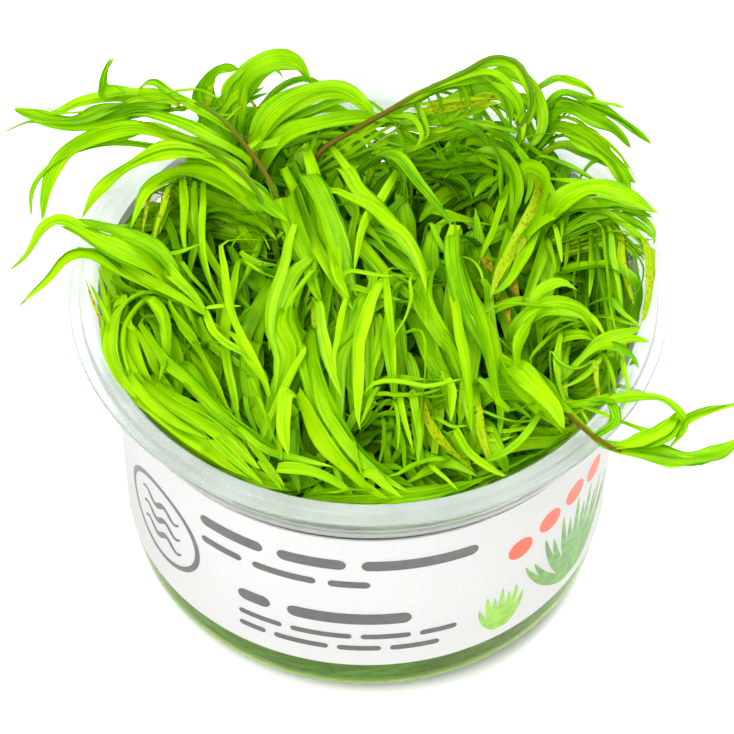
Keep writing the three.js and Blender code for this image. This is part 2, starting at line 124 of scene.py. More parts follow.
# A blade's width goes by the power foot at its foot and by the power tip at its tip. Every second blade is
# shorter by the share uneven, and the blades at the sides are bowed.
BLADE = {"points": 16, "foot": 0.4, "tip": 0.7, "full": 1.5, "least": 0.02, "bow": -0.09, "uneven": 0.15}
BAR_END_POINTS = 7
BAR_LEAST = 0.01
DOT_SIZE = 5
DOTS = [(25, 33.5), (31.4, 35.8), (37.8, 37.2), (44.2, 36.8)]

# Leaves and stems
STEM_RADIUS = 0.58
STEM_TIP_RADIUS = 0.36
STEM_SIDES = 8
STEM_STATIONS = 60
STEM_LEAST_STATIONS = 24
# The stem's swellings: by how much, at how many stations apart, and how narrow
KNUCKLE_SWELL = 0.22
KNUCKLE_EVERY = 7
KNUCKLE_POWER = 8
# What the leaf material reads on a stem: see make_foliage
STEM_STRAP = 60
STEM_PLACE = (0.5, 0.3, 1.0)
STEM_TINT = 0.3
CURVE_STEPS = 12
LEAF_STATIONS = 20
NAMED_LEAF_STATIONS = 36
LEAF_THICKNESS = 0.16
LEAF_CLEARANCE = 0.2
# The width at a leaf's base as a share of its greatest, and the share of its length over which it opens.
# The taper begins before the bend, and powers give how the leaf opens and how it comes to a point.
LEAF_BASE = 0.35
LEAF_BASE_SPAN = 0.35
TAPER = {"bend": 0.8, "opening": 0.8, "long": 4, "point": 0.75}
# A slow wave in the width, a flutter of the margins, the crease's shift aside, and the fold's easing midway
WAVE = 0.07
WAVE_RATE = (9, 21)
FLUTTER = (0, 0.25)
FLUTTER_RATE = 17
FLUTTER_PHASE = 3
CREASE_SHIFT = 0.35
FOLD_EASE = 0.45
LEAF_NUMBERS = (0, 90)
# Small leaves in whorls low on each stem: the leaves in a whorl, the whorls' spacing, and the leaves' lengths
WHORL_LEAVES = 3
WHORL_SPACING = 5.5
WHORL_UNEVEN = (-1, 1)
WHORL_TURN = (0, 6)
WHORL_LENGTH = (14, 24)
WHORL_LOWEST = 8
WHORL_HIGHEST = 50
WHORL_BELOW_TIP = 8
WHORL_STEEP = (0.9, 1.6)
FILLER_WHORL_LOWEST = 7.5
FILLER_WHORL_SHARE = 0.6
FILLER_WHORL_STEEP = (0.8, 1.5)
# How a leaf bends over: see bent_routes
BEND_SHORTENING = 0.35
BEND_DROOP = 0.6

# Filler shoots, by the same rule as their solids
FILLER_COUNT = 30
FILLER_TRIES = 12
FILLER_SPREAD = 36.5
FILLER_STEM = {"low": 47, "rise": 7, "back_rise": 3, "lean": 0.07, "off_wall": 1.05}
FILLER_LEAF = {"shortest": 17, "longest": 28, "narrowest": 3.4, "widest": 5}
# The highest leaf's place as a share of the stem, and how far down from there the others go
FILLER_LEAF_FROM = 0.98
FILLER_LEAF_SPAN = 0.45
# The least steepness of a leaf, and how much more may be drawn
FILLER_STEEP = (0.7, 0.5)
# A leaf here is this much narrower than in the solid, and turns along the wall at this radius.
FILLER_SLIMMING = 0.8
FILLER_REACH = 42.5
TURN_SOFTENING = 12
GOLDEN_ANGLE = math.pi * (3 - math.sqrt(5))
# A solid's root ring is all its points this near to its lowest.
RING_DEPTH = 0.2

# Leaves along the wall, on filler shoots that stand at least this far out: the lowest and highest place of
# each kind, and its count. The middle ones fill the label's gap, and the side ones stand where the sine of a
# shoot's turn is small.
WALL_LEAF_FROM = 24
LABEL_GAP_REACH = 0.45
SIDE_REACH = 0.65
WALL_PLACES = {"foot": (2.2, 12.5, 24), "middle": (12, 44, 26), "rim": (46, 56, 11), "side": (50, 57, 9)}
# Such a leaf sets out to one side by up to an angle, sweeps round by another, climbs or falls by up to so
# many millimetres, but little beyond its kind's places, and lies off the wall by a least gap and up to so
# much more. It reaches the wall at a share of its length.
WALL_LEAF_ASIDE = 0.12
WALL_LEAF_SWEEP = (0.3, 0.75)
WALL_SWEEP_POWER = 1.2
WALL_LEAF_CLIMB = 7
WALL_LEAF_BEYOND = (2, 1)
WALL_LEAF_OFF = 0.4
WALL_LEAF_OFF_MORE = 1.6
WALL_REACHED_AT = 0.3
WALL_REACH_POWER = 0.7

# The kinds of leaves: ranges of width, tone from dark to pale, age from fresh to old and fold, and how far
# roll and twist spread. Where there is no range of width, each leaf brings its own. The last five are the
# tones of the canopy's leaves. The tone is each leaf's own hue with painted shade and light on it: leaves low
# on a stem and lower in the tangle are darker, and the canopy's top leaves paler.
LEAF_KINDS = {
    "named": (None, (0.46, 0.84), (0.0, 0.4), (0.25, 0.9), 0.25, 0.4),
    "low_on_named": ((2.4, 4.0), (0.2, 0.5), (0.0, 0.6), (0.1, 0.6), 0.3, 0.6),
    "filler": (None, (0.3, 0.65), (0.0, 0.6), (-0.3, 0.8), 0.3, 0.6),
    "low_on_filler": ((2.4, 4.2), (0.25, 0.5), (0.0, 0.8), (0.1, 0.6), 0.3, 0.6),
    "foot": ((2.6, 4.2), (0.3, 0.9), (0.0, 0.7), (-0.2, 0.2), 1.2, 0.3),
    "middle": ((2.6, 4.2), (0.3, 0.8), (0.0, 0.5), (-0.2, 0.3), 1.2, 0.3),
    "rim": ((2.4, 4.0), (0.5, 0.9), (0.0, 0.5), (-0.2, 0.4), 1.0, 0.3),
    "side": ((2.4, 3.8), (0.5, 0.9), (0.0, 0.8), (-0.2, 0.4), 1.0, 0.3),
    "bright": (None, (0.68, 0.95), (0.0, 0.35), (-0.3, 0.8), 0.25, 0.4),
    "green": (None, (0.48, 0.72), (0.0, 0.4), (-0.3, 0.8), 0.25, 0.4),
    "deep_in_shade": (None, (0.3, 0.52), (0.0, 0.4), (-0.3, 0.8), 0.25, 0.4),
    "yellow": (None, (0.74, 0.9), (1.2, 1.9), (-0.3, 0.8), 0.25, 0.4),
    "brown": (None, (0.5, 0.7), (2.4, 3.0), (-0.3, 0.8), 0.25, 0.4),
}
TONES = ("bright", "green", "deep_in_shade", "yellow", "brown")

# Companions: leaves that lie under those of the canopy
COMPANIONS_EACH = 3
COMPANION_REACH = 43
COMPANION_NARROWEST = 1.2
COMPANION_TURN = 0.16
COMPANION_DROP = (2, 9)
# Painted shade: a companion dropped this far or more takes the darkest tone.
COMPANION_DARKEST_SHADE_FROM = 6
COMPANION_LENGTH = (0.8, 1.2)
COMPANION_SHIFT = 2.4
COMPANION_WIDTH = (0.9, 1.4)

# Canopy leaves leave a stem below them: a place on a stem that isn't this far below costs this much more,
# but for leaves that start higher than the tangle. A leaf is at most half hidden.
STEM_BELOW = 4
STEM_BELOW_COST = 40
HIGH_LEAF = 68.4
MOST_HIDDEN = 0.5

# Seeds of the random draws. A shoot's own seed is added to those of its straps and canopy leaves.
SOLIDS_SEED = 7
NAMED_SEED = 100
FILLER_SEED = 200
STRAP_SEED = 1000
CANOPY_SEED = 3000
COMPANION_SEED = 77

# Camera of the photograph, and the studio. Each soft box has its place, width and watts.
FOCAL_PIXELS = 5000
FRAME_PIXELS = 734
SENSOR_MM = 36
CAMERA_PLACE = (0, -554.5, 681.0)
CAMERA_DOWN = 49.126
CAMERA_YAW = -0.012
CAMERA_ROLL = 0.869
WORLD_STRENGTH = 0.95
SOFT_BOXES = {
    "soft_box_front": ((-260, -420, 620), 480, 5),
    "soft_box_back": ((320, 300, 560), 360, 4),
    "soft_box_low": ((60, -760, 260), 520, 0.8),
}
FLOOR_HALF = 1500
FLOOR_LINES = 5


def linear(hex_colour):
    """An sRGB hex colour as linear red, green, blue and 1 for alpha."""
    parts = [int(hex_colour[i : i + 2], 16) / 255 for i in (1, 3, 5)]
    return tuple(c / 12.92 if c <= 0.04045 else ((c + 0.055) / 1.055) ** 2.4 for c in parts) + (1.0,)


def add(tree, kind, settings=None, links=None):
    """A new node of a kind, with its properties and input values set and its inputs linked.

    A setting named like an input, or by its number, goes to that input, any other to the node's own property.
    """
    node = tree.nodes.new(kind)
    for name, value in (settings or {}).items():
        if isinstance(name, int) or name in node.inputs:
            node.inputs[name].default_value = value
        else:
            setattr(node, name, value)
    for name, source in (links or {}).items():
        tree.links.new(source, node.inputs[name])
    return node


def new_material(name):
    """An empty node material and its tree."""
    material = bpy.data.materials.new(name)
    material.use_nodes = True
    material.node_tree.nodes.clear()
    return material, material.node_tree


def surfaced(material, shader):
    """The material, with the shader's result as its surface."""
    add(material.node_tree, "ShaderNodeOutputMaterial", links={"Surface": shader.outputs[0]})
    return material


def ramp(tree, factor, stops):
    """A colour ramp through (place, hex colour) stops, driven by a factor."""
    node = add(tree, "ShaderNodeValToRGB", links={"Fac": factor})
    elements = node.color_ramp.elements
    elements[0].position, elements[0].color = stops[0][0], linear(stops[0][1])
    elements[1].position, elements[1].color = stops[-1][0], linear(stops[-1][1])
    for place, colour in stops[1:-1]:
        elements.new(place).color = linear(colour)
    return node


def solid_noise(tree, scale, detail):
    """Noise that is fixed to the object, with scale features to the metre: its factor."""
    coordinates = add(tree, "ShaderNodeTexCoord")
    links = {"Vector": coordinates.outputs["Object"]}
    return add(tree, "ShaderNodeTexNoise", {"Scale": scale, "Detail": detail}, links).outputs["Fac"]


def strap_noise(tree, strap, scale, detail=2.0):
    """Noise that is fixed to a leaf's own sheet, with features to the millimetre across it and along it."""
    stretch = {"operation": "MULTIPLY", 1: (*scale, 1.0)}
    place = add(tree, "ShaderNodeVectorMath", stretch, {0: strap}).outputs[0]
    return add(tree, "ShaderNodeTexNoise", {"Scale": 1.0, "Detail": detail}, {"Vector": place}).outputs["Fac"]


def calculated(tree, operation, *values):
    """The result of a math node whose inputs are other nodes' results or plain numbers."""
    node = add(tree, "ShaderNodeMath", {"operation": operation})
    for number, value in enumerate(values):
        if isinstance(value, bpy.types.NodeSocket):
            tree.links.new(value, node.inputs[number])
        else:
            node.inputs[number].default_value = value
    return node.outputs[0]


def blended(tree, share, first, second):
    """The first colour mixed with a share of the second. The second may be a hex colour."""
    links = {0: share, 6: first}
    if isinstance(second, str):
        return add(tree, "ShaderNodeMix", {"data_type": "RGBA", 7: linear(second)}, links).outputs[2]
    return add(tree, "ShaderNodeMix", {"data_type": "RGBA"}, {**links, 7: second}).outputs[2]


# Camera, lights and floor


def make_camera():
    """The photograph's camera: its place, and its view turned by yaw, down and roll."""
    yaw, down, roll = (math.radians(a) for a in (CAMERA_YAW, CAMERA_DOWN, CAMERA_ROLL))
    ahead = Vector((math.sin(yaw) * math.cos(down), math.cos(yaw) * math.cos(down), -math.sin(down)))
    level = Vector((math.cos(yaw), -math.sin(yaw), 0))
    above = level.cross(ahead)
    right = math.cos(roll) * level + math.sin(roll) * above
    up = math.cos(roll) * above - math.sin(roll) * level
    data = bpy.data.cameras.new("camera")
    data.sensor_width = SENSOR_MM
    data.lens = SENSOR_MM * FOCAL_PIXELS / FRAME_PIXELS
    data.clip_end = 20
    camera = bpy.data.objects.new("camera", data)
    turn = Matrix((right, up, -ahead)).transposed().to_4x4()
    camera.matrix_world = Matrix.Translation(Vector(CAMERA_PLACE) * MM) @ turn
    bpy.context.scene.collection.objects.link(camera)
    bpy.context.scene.camera = camera


def make_light(name, place, width, watts):
    """A square soft box that looks at the middle of the cup."""
    data = bpy.data.lights.new(name, "AREA")
    data.size = width * MM
    data.energy = watts
    light = bpy.data.objects.new(name, data)
    light.location = Vector(place) * MM
    aim = Vector((0, 0, CUP_HEIGHT / 2)) * MM - light.location
    light.rotation_mode = "QUATERNION"
    light.rotation_quaternion = aim.to_track_quat("-Z", "Y")
    bpy.context.scene.collection.objects.link(light)


def make_studio():
    """An even white surround and the soft boxes."""
    scene = bpy.context.scene
    scene.view_settings.view_transform = "Standard"
    world = bpy.data.worlds.new("studio")
    world.use_nodes = True
    background = world.node_tree.nodes["Background"]
    background.inputs["Color"].default_value = linear("#FFFFFF")
    background.inputs["Strength"].default_value = WORLD_STRENGTH
    scene.world = world
    for name, (place, width, watts) in SOFT_BOXES.items():
        make_light(name, place, width, watts)


# Surfaces


def make_piece(name, points, faces, material, nodes=(), slot=None, attributes=()):
    """A mesh object from points in millimetres and faces as arrays of corner numbers.

    attributes holds (name, type, values) for the points. A piece without a slot isn't the object's own.
    """
    mesh = bpy.data.meshes.new(name)
    sizes = np.concatenate([np.full(len(f), f.shape[1]) for f in faces])
    corners = np.concatenate([f.ravel() for f in faces])
    mesh.vertices.add(len(points))
    mesh.vertices.foreach_set("co", (np.asarray(points) * MM).astype(np.float32).ravel())
    mesh.loops.add(len(corners))
    mesh.loops.foreach_set("vertex_index", corners.astype(np.int32))
    mesh.polygons.add(len(sizes))
    mesh.polygons.foreach_set("loop_start", np.concatenate([[0], np.cumsum(sizes)[:-1]]).astype(np.int32))
    mesh.polygons.foreach_set("loop_total", sizes.astype(np.int32))
    for label, kind, values in attributes:
        made = mesh.attributes.new(label, kind, "POINT")
        key = "vector" if kind == "FLOAT_VECTOR" else "value"
        made.data.foreach_set(key, np.asarray(values, np.float32).ravel())
    mesh.update(calc_edges=True)
    mesh.validate()
    mesh.polygons.foreach_set("use_smooth", np.ones(len(mesh.polygons), bool))
    mesh.set_sharp_from_angle(angle=math.radians(CRISP_ANGLE))
    mesh.materials.append(material)
    piece = bpy.data.objects.new(name, mesh)
    bpy.context.scene.collection.objects.link(piece)
    if slot:
        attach(piece, "root")
        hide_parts(*nodes)
    return piece


def grid_faces(rows, columns, closed=False):
    """Four-cornered faces between the points of a grid whose points run row by row. In a closed one, each
    row's last point joins its first."""
    r = np.arange(rows - 1)[:, None]
    c = np.arange(columns if closed else columns - 1)[None, :]
    beside = (c + 1) % columns
    corners = [r * columns + c, (r + 1) * columns + c, (r + 1) * columns + beside, r * columns + beside]
    return np.stack(np.broadcast_arrays(*corners), -1).reshape(-1, 4)


def fan(tip, these, those):
    """Triangles from a tip to the points of a ring and their neighbours."""
    return np.stack([np.full(len(these), tip), these, those], -1)


def soften(profile, cut):
    """A profile with each inner corner replaced by a parabola that starts and ends a cut away from it."""
    p = np.array(profile, float)
    out = [p[0]]
    for before, corner, after in zip(p[:-2], p[1:-1], p[2:]):
        ends = []
        for other in (before, after):
            run = other - corner
            length = np.linalg.norm(run)
            ends.append(corner + run * min(cut, length / CORNER_LIMIT) / length)
        for t in np.linspace(0, 1, CORNER_STEPS + 1):
            out.append((1 - t) ** 2 * ends[0] + 2 * t * (1 - t) * corner + t**2 * ends[1])
    return np.array(out + [p[-1]])


def carried_round(section, turn):
    """The points of a section of (radius, height) points at each turn about the axis: a row to a point."""
    radius, height = section[:, :1], section[:, 1:]
    return np.stack(np.broadcast_arrays(radius * np.cos(turn), radius * np.sin(turn), height), -1)


def lathe(profile):
    """A closed body of revolution: each (radius, height) point of the profile is carried round the axis.

    The profile starts and ends on the axis, where the ring shrinks to one point.
    """
    turn = np.linspace(0, 2 * np.pi, ROUND_STEPS, endpoint=False)
    rings = carried_round(profile[1:-1], turn)
    points = rings.reshape(-1, 3)
    poles = np.array([[0, 0, profile[0, 1]], [0, 0, profile[-1, 1]]])
    first = np.arange(ROUND_STEPS)
    last = first + (len(rings) - 1) * ROUND_STEPS
    caps = [fan(len(points), np.roll(first, -1), first), fan(len(points) + 1, last, np.roll(last, -1))]
    sides = grid_faces(len(rings), ROUND_STEPS, closed=True)[:, ::-1]
    return np.vstack([points, poles]), [sides, *caps]


def capped_tube(rings):
    """A closed body through equal rings of points, with a flat fan at each end."""
    stations, sides = rings.shape[:2]
    points = np.vstack([rings.reshape(-1, 3), rings[:1].mean(1), rings[-1:].mean(1)])
    first = np.arange(sides)
    last = first + (stations - 1) * sides
    caps = [fan(len(points) - 2, np.roll(first, -1), first), fan(len(points) - 1, last, np.roll(last, -1))]
    return points, [grid_faces(stations, sides, closed=True)[:, ::-1], *caps]


def joined(bodies):
    """Several closed bodies, each (points, faces), as one set of points and faces."""
    points, faces, count = [], [], 0
    for body_points, body_faces in bodies:
        faces += [f + count for f in body_faces]
        points.append(body_points)
        count += len(body_points)
    return np.vstack(points), faces


# Cup, label and gel


def wall_radius(z):
    """Radius of the tapered wall's outer face at height z."""
    return WALL_RADIUS_AT_FOOT + WALL_SLOPE * z


def arc_points(centre_r, centre_z, radius, start, end, steps):
    """Profile points on an arc, from a start to an end in degrees."""
    a = np.radians(np.linspace(start, end, steps + 1))
    return list(zip(centre_r + radius * np.cos(a), centre_z + radius * np.sin(a)))


def inside_radius(z):
    """Radius of the free space inside the cup at heights z: round foot, wall, step, collar and flared lip."""
    straight = wall_radius(z) - WALL_THICKNESS
    below_step = wall_radius(STEP_HEIGHT) - WALL_THICKNESS
    share = np.clip((z - STEP_HEIGHT) / (SHOULDER_HEIGHT - STEP_HEIGHT), 0, 1)
    above = below_step + share * (COLLAR_RADIUS - WALL_THICKNESS - below_step)
    lip = np.clip((z - CUP_HEIGHT + LIP_DEPTH) / LIP_RISE, 0, 1)
    above = above + lip * (MOUTH_RADIUS - COLLAR_RADIUS + WALL_THICKNESS)
    corner = FOOT_CORNER - FOOT_THICKNESS
    foot_radius = wall_radius(FOOT_CORNER) - FOOT_CORNER
    drop = np.clip(FOOT_CORNER - z, 0, corner)
    foot = foot_radius + np.sqrt(corner**2 - drop**2)
    thinned = straight + (WALL_THICKNESS - FOOT_THICKNESS) * np.clip(2 - z / FOOT_CORNER, 0, 1)
    return np.where(z < FOOT_CORNER, foot, np.where(z < STEP_HEIGHT, thinned, above))


def make_cup(clear, thick, thin):
    """The cup is its section carried round: foot, wall, step, collar, rim flange and the inside back down.

    It is thick from the collar's upper half to the rim, and the same milkier plastic makes a band at the
    shoulder that is a painted highlight along its rounded edge. It is thin below the label.
    """
    flange_top = CUP_HEIGHT - BEAD_HEIGHT
    flange_bottom = CUP_HEIGHT - FLANGE_DEPTH
    foot_radius = wall_radius(FOOT_CORNER) - FOOT_CORNER
    collar_inner = COLLAR_RADIUS - WALL_THICKNESS
    upper = [
        (wall_radius(LABEL_BOTTOM), LABEL_BOTTOM),
        (wall_radius(STEP_HEIGHT), STEP_HEIGHT),
        (COLLAR_RADIUS - SHOULDER_IN, STEP_HEIGHT + SHOULDER_UP),
        (COLLAR_RADIUS, SHOULDER_HEIGHT),
        (COLLAR_RADIUS, COLLAR_CLEAR_TO),
        (COLLAR_RADIUS, flange_bottom),
        (RIM_RADIUS - FLANGE_ROUND, flange_bottom),
        (RIM_RADIUS, flange_bottom + FLANGE_ROUND),
        (RIM_RADIUS - FLANGE_DRAFT, flange_top),
        (BEAD_OUTER + BEAD_SLOPE, flange_top),
        (BEAD_OUTER, CUP_HEIGHT),
        (MOUTH_RADIUS + FLANGE_ROUND, CUP_HEIGHT),
        (MOUTH_RADIUS, CUP_HEIGHT - FLANGE_ROUND),
        (collar_inner, CUP_HEIGHT - LIP_DEPTH),
        (collar_inner, COLLAR_CLEAR_TO),
        (collar_inner, SHOULDER_HEIGHT),
        (wall_radius(STEP_HEIGHT) - WALL_THICKNESS, STEP_HEIGHT),
        (wall_radius(2 * FOOT_CORNER) - WALL_THICKNESS, 2 * FOOT_CORNER),
        (float(inside_radius(LABEL_BOTTOM)), LABEL_BOTTOM),
    ]
    outer_foot = arc_points(foot_radius, FOOT_CORNER, FOOT_CORNER, -90, 0, FOOT_STEPS)
    inner_corner = FOOT_CORNER - FOOT_THICKNESS
    inner_foot = arc_points(foot_radius, FOOT_CORNER, inner_corner, 0, -90, INNER_FOOT_STEPS)
    softened = soften([outer_foot[-1], *upper, inner_foot[0]], CUP_EDGE)[1:-1]
    profile = np.array([(0, 0), *outer_foot, *softened, *inner_foot, (0, FLOOR_THICKNESS)])
    cup = make_piece("clear_cup", *lathe(profile), clear, ["cup"], "cup_plastic")
    cup.data.materials.append(thick)
    cup.data.materials.append(thin)
    middles = np.empty(len(cup.data.polygons) * 3, np.float32)
    cup.data.polygons.foreach_get("center", middles)
    height = middles[2::3] / MM
    # Painted highlight: the band of thick, milkier plastic round the shoulder's rounded edge
    shoulder = np.abs(height - SHOULDER_HEIGHT + HIGHLIGHT_BAND_DROP) < HIGHLIGHT_BAND_HALF
    thick_or_painted_highlight = shoulder | (height > COLLAR_CLEAR_TO)
    which = np.where(thick_or_painted_highlight, 1, np.where(height < LABEL_BOTTOM, 2, 0))
    cup.data.polygons.foreach_set("material_index", which.astype(np.int32))


def make_label(material):
    """The label is its thin upright section carried round the wall, from one side of the gap to the other."""
    edge = LABEL_GAP_WIDTH / 2 / wall_radius(LABEL_TOP)
    turn = np.linspace(np.pi / 2 + edge, 2.5 * np.pi - edge, ROUND_STEPS)
    heights = np.linspace(LABEL_BOTTOM, LABEL_TOP, LABEL_ROWS)
    inner = np.stack([wall_radius(heights) + GAP, heights], -1)
    outer = inner + [LABEL_THICKNESS, 0]
    section = np.vstack([outer, inner[::-1]])
    points, faces = capped_tube(carried_round(section, turn).transpose(1, 0, 2))
    faces = [f[:, ::-1] for f in faces]
    make_piece("wrap_label", points, faces, material, ["label"], "label_film")


def label_place(along, height, lift):
    """Points on the label: along is millimetres round it from the front, lift is out from its face."""
    turn = along / (wall_radius((LABEL_BOTTOM + LABEL_TOP) / 2) + GAP) - np.pi / 2
    radius = wall_radius(height) + GAP + LABEL_THICKNESS + lift
    return np.stack(np.broadcast_arrays(radius * np.cos(turn), radius * np.sin(turn), height), -1)


def ink_stroke(line, half_width):
    """A printed stroke as a thin closed slab on the label: half_width to each side of a line of
    (along, height) points. Its ends round off where half_width falls to nothing."""
    line = np.asarray(line, float)
    run = np.gradient(line, axis=0)
    run /= np.linalg.norm(run, axis=1)[:, None]
    across = np.stack([-run[:, 1], run[:, 0]], -1) * np.asarray(half_width)[:, None]
    left, right = line + across, line - across
    corners = [(left, INK_THICKNESS), (right, INK_THICKNESS), (right, -INK_THICKNESS), (left, -INK_THICKNESS)]
    rings = np.stack([label_place(side[:, 0], side[:, 1], lift) for side, lift in corners], 1)
    return capped_tube(rings)


def rounded_bar(start, end, height, thick):
    """A level bar with round ends, as a stroke whose width follows a circle at each end."""
    radius, length = thick / 2, end - start
    cap = radius * (1 - np.cos(np.linspace(0, np.pi / 2, BAR_END_POINTS)))
    middle = np.linspace(radius, length - radius, 3 + int(length))
    x = np.unique(np.concatenate([cap, middle, length - cap]).round(4))
    near = np.minimum(np.minimum(x, length - x), radius)
    half = np.sqrt(np.maximum(radius**2 - (radius - near) ** 2, 0)) + BAR_LEAST
    return ink_stroke(np.stack([start + x, np.full_like(x, height)], -1), half)


def blade_stroke(foot, tip, bend, width):
    """A printed grass blade: a bowed line from foot to tip, widest near its middle and pointed at its end."""
    t = np.linspace(0, 1, BLADE["points"])[:, None]
    foot, tip = np.array(foot, float), np.array(tip, float)
    side = np.array([-(tip - foot)[1], (tip - foot)[0]]) * bend
    line = foot + (tip - foot) * t + side * (4 * t * (1 - t))
    half = width / 2 * (t ** BLADE["foot"]) * (1 - t) ** BLADE["tip"] * BLADE["full"] + BLADE["least"]
    return ink_stroke(line, half[:, 0])


def blade_fan(middle, half, spread, tall, droop, width):
    """Printed blades that spread from one foot, shorter to the sides and every second one shorter still."""
    blades = []
    for k in range(-half, half + 1):
        lean = k / half
        foot = (middle + FAN_FOOT * lean * spread / FAN_SPREAD, FAN_HEIGHT)
        height = FAN_HEIGHT + tall - droop * lean**2 - BLADE["uneven"] * tall * (k % 2)
        blades.append(blade_stroke(foot, (middle + spread * lean, height), BLADE["bow"] * lean, width))
    return blades


def make_print(dark, pale, green, orange):
    """The label's printing: a ring of ripples, rows of plain bars, two fans of blades and orange dots."""
    middle, height = RING_PLACE
    turn = np.linspace(0, 2 * np.pi, RING_POINTS)
    ring = np.stack([middle + RING_RADIUS * np.cos(turn), height + RING_RADIUS * np.sin(turn)], -1)
    strokes = [ink_stroke(ring, np.full(RING_POINTS, RING_HALF_LINE))]
    for height in RIPPLE_HEIGHTS:
        x = np.linspace(-RIPPLE["half"], RIPPLE["half"], RIPPLE["points"])
        wave = np.stack([x + middle, height + RIPPLE["swing"] * np.sin(x * RIPPLE["rate"])], -1)
        thinning = np.sqrt(np.maximum(1 - (x / RIPPLE["end"]) ** 2, RIPPLE["least"]))
        strokes.append(ink_stroke(wave, RIPPLE["half_line"] * thinning))
    for height, thick, bars in BAR_ROWS:
        strokes += [rounded_bar(start, end, height, thick) for start, end in bars]
    dots = [rounded_bar(x, x + DOT_SIZE, height, DOT_SIZE) for x, height in DOTS]
    make_piece("label_bars", *joined(strokes), dark, slot="label_film")
    make_piece("label_blades", *joined(blade_fan(**FAN)), green, slot="label_film")
    make_piece("label_low_blades", *joined(blade_fan(**LOW_FAN)), pale, slot="label_film")
    make_piece("label_dots", *joined(dots), orange, slot="label_film")


def make_gel(material):
    """The pad of gel is its section carried round: it follows the cup's foot and creeps up at the wall."""
    foot_radius = wall_radius(FOOT_CORNER) - FOOT_CORNER
    corner = FOOT_CORNER - FOOT_THICKNESS - GEL_GAP
    bottom = FLOOR_THICKNESS + GEL_GAP
    edge = foot_radius + corner - GEL_EDGE_IN
    outer = arc_points(foot_radius, bottom + corner, corner, -90, GEL_FOOT_END, GEL_FOOT_STEPS)
    top = [(edge - inward, GEL_TOP + up) for inward, up in GEL_CREEP] + [(GEL_FLAT_RADIUS, GEL_TOP)]
    profile = np.array([(0, bottom), *outer, *soften(top, GEL_SOFTENING), (0, GEL_TOP)])
    make_piece("gel_pad", *lathe(profile), material, ["growing_gel"], "gel")


# Leaves and stems


def unit(v):
    """Vectors scaled to length 1."""
    return v / np.maximum(np.linalg.norm(v, axis=-1, keepdims=True), 1e-9)


def smooth_route(points, count):
    """A centripetal Catmull-Rom curve through the points, as count points evenly spaced along it."""
    p = np.asarray(points, float)
    p = np.vstack([2 * p[0] - p[1], p, 2 * p[-1] - p[-2]])
    knot = np.sqrt(np.linalg.norm(np.diff(p, axis=0), axis=1))[:, None]
    slope = np.diff(p, axis=0) / knot
    tangent = slope[:-1] - (p[2:] - p[:-2]) / (knot[:-1] + knot[1:]) + slope[1:]
    h = knot[1:-1, None]
    u = np.linspace(0, 1, CURVE_STEPS, endpoint=False)[None, :, None]
    a, b = p[1:-2, None], p[2:-1, None]
    ta, tb = tangent[:-1, None] * h, tangent[1:, None] * h
    curve = (2 * u**3 - 3 * u**2 + 1) * a + (u**3 - 2 * u**2 + u) * ta
    curve = curve + (3 * u**2 - 2 * u**3) * b + (u**3 - u**2) * tb
    return even_route(np.vstack([curve.reshape(-1, 3), p[-2]]), count)


def even_route(points, count):
    """A broken line as count points evenly spaced along it."""
    points = np.asarray(points, float)
    gone = np.concatenate([[0], np.cumsum(np.linalg.norm(np.diff(points, axis=0), axis=1))])
    at = np.linspace(0, gone[-1], count)
    return np.stack([np.interp(at, gone, points[:, k]) for k in range(3)], -1)


def point_on(points, share):
    """The point a share of the way along a broken line, to the nearest 200th."""
    return even_route(points, 201)[int(round(share * 200))]


def carried_sides(routes):
    """Sideways and upward unit vectors along each route, level at the start and carried on without twist."""
    along = unit(np.gradient(routes, axis=1))
    run = routes[:, -1] - routes[:, 0]
    side = unit(np.stack([-run[:, 1], run[:, 0], np.zeros(len(run))], -1))
    sides = np.empty_like(routes)
    for k in range(routes.shape[1]):
        side = unit(side - (side * along[:, k]).sum(-1, keepdims=True) * along[:, k])
        sides[:, k] = side
    return sides, np.cross(along, sides)


def leaf_taper(t, bend):
    """Width along a leaf as a share of its greatest width: a narrow base, as far as the bend where the leaf
    comes out of the tangle, and a long point."""
    opened = np.clip((t - TAPER["bend"] * bend) / LEAF_BASE_SPAN, 0, 1) ** TAPER["opening"]
    return (LEAF_BASE + (1 - LEAF_BASE) * opened) * (1 - t ** TAPER["long"]) ** TAPER["point"]


# A leaf's section: how far across each point is, and whether it is on the upper or lower face.
ACROSS = np.array([-1, -0.5, 0, 0.5, 1, 0.5, 0, -0.5])
UNDER = np.array([0, 0, 0, 0, 0, 1, 1, 1])


def keep_off_wall(points, held):
    """Draws points below the rim in to the cup's inner wall, so that leaves lie against it. A leaf that is
    held stays inside altogether. Any other may hang down outside the rim."""
    reach = np.hypot(points[..., 0], points[..., 1])
    inside = (points[..., 2] < CUP_HEIGHT + LEAF_CLEARANCE) & (held | (reach < RIM_RADIUS + LEAF_CLEARANCE))
    lowest = FLOOR_THICKNESS + LEAF_CLEARANCE
    points[..., 2] = np.where(inside, np.maximum(points[..., 2], lowest), points[..., 2])
    limit = inside_radius(points[..., 2]) - LEAF_CLEARANCE
    share = np.where(inside & (reach > limit), limit / np.maximum(reach, 1e-6), 1)
    points[..., :2] *= share[..., None]
    return points


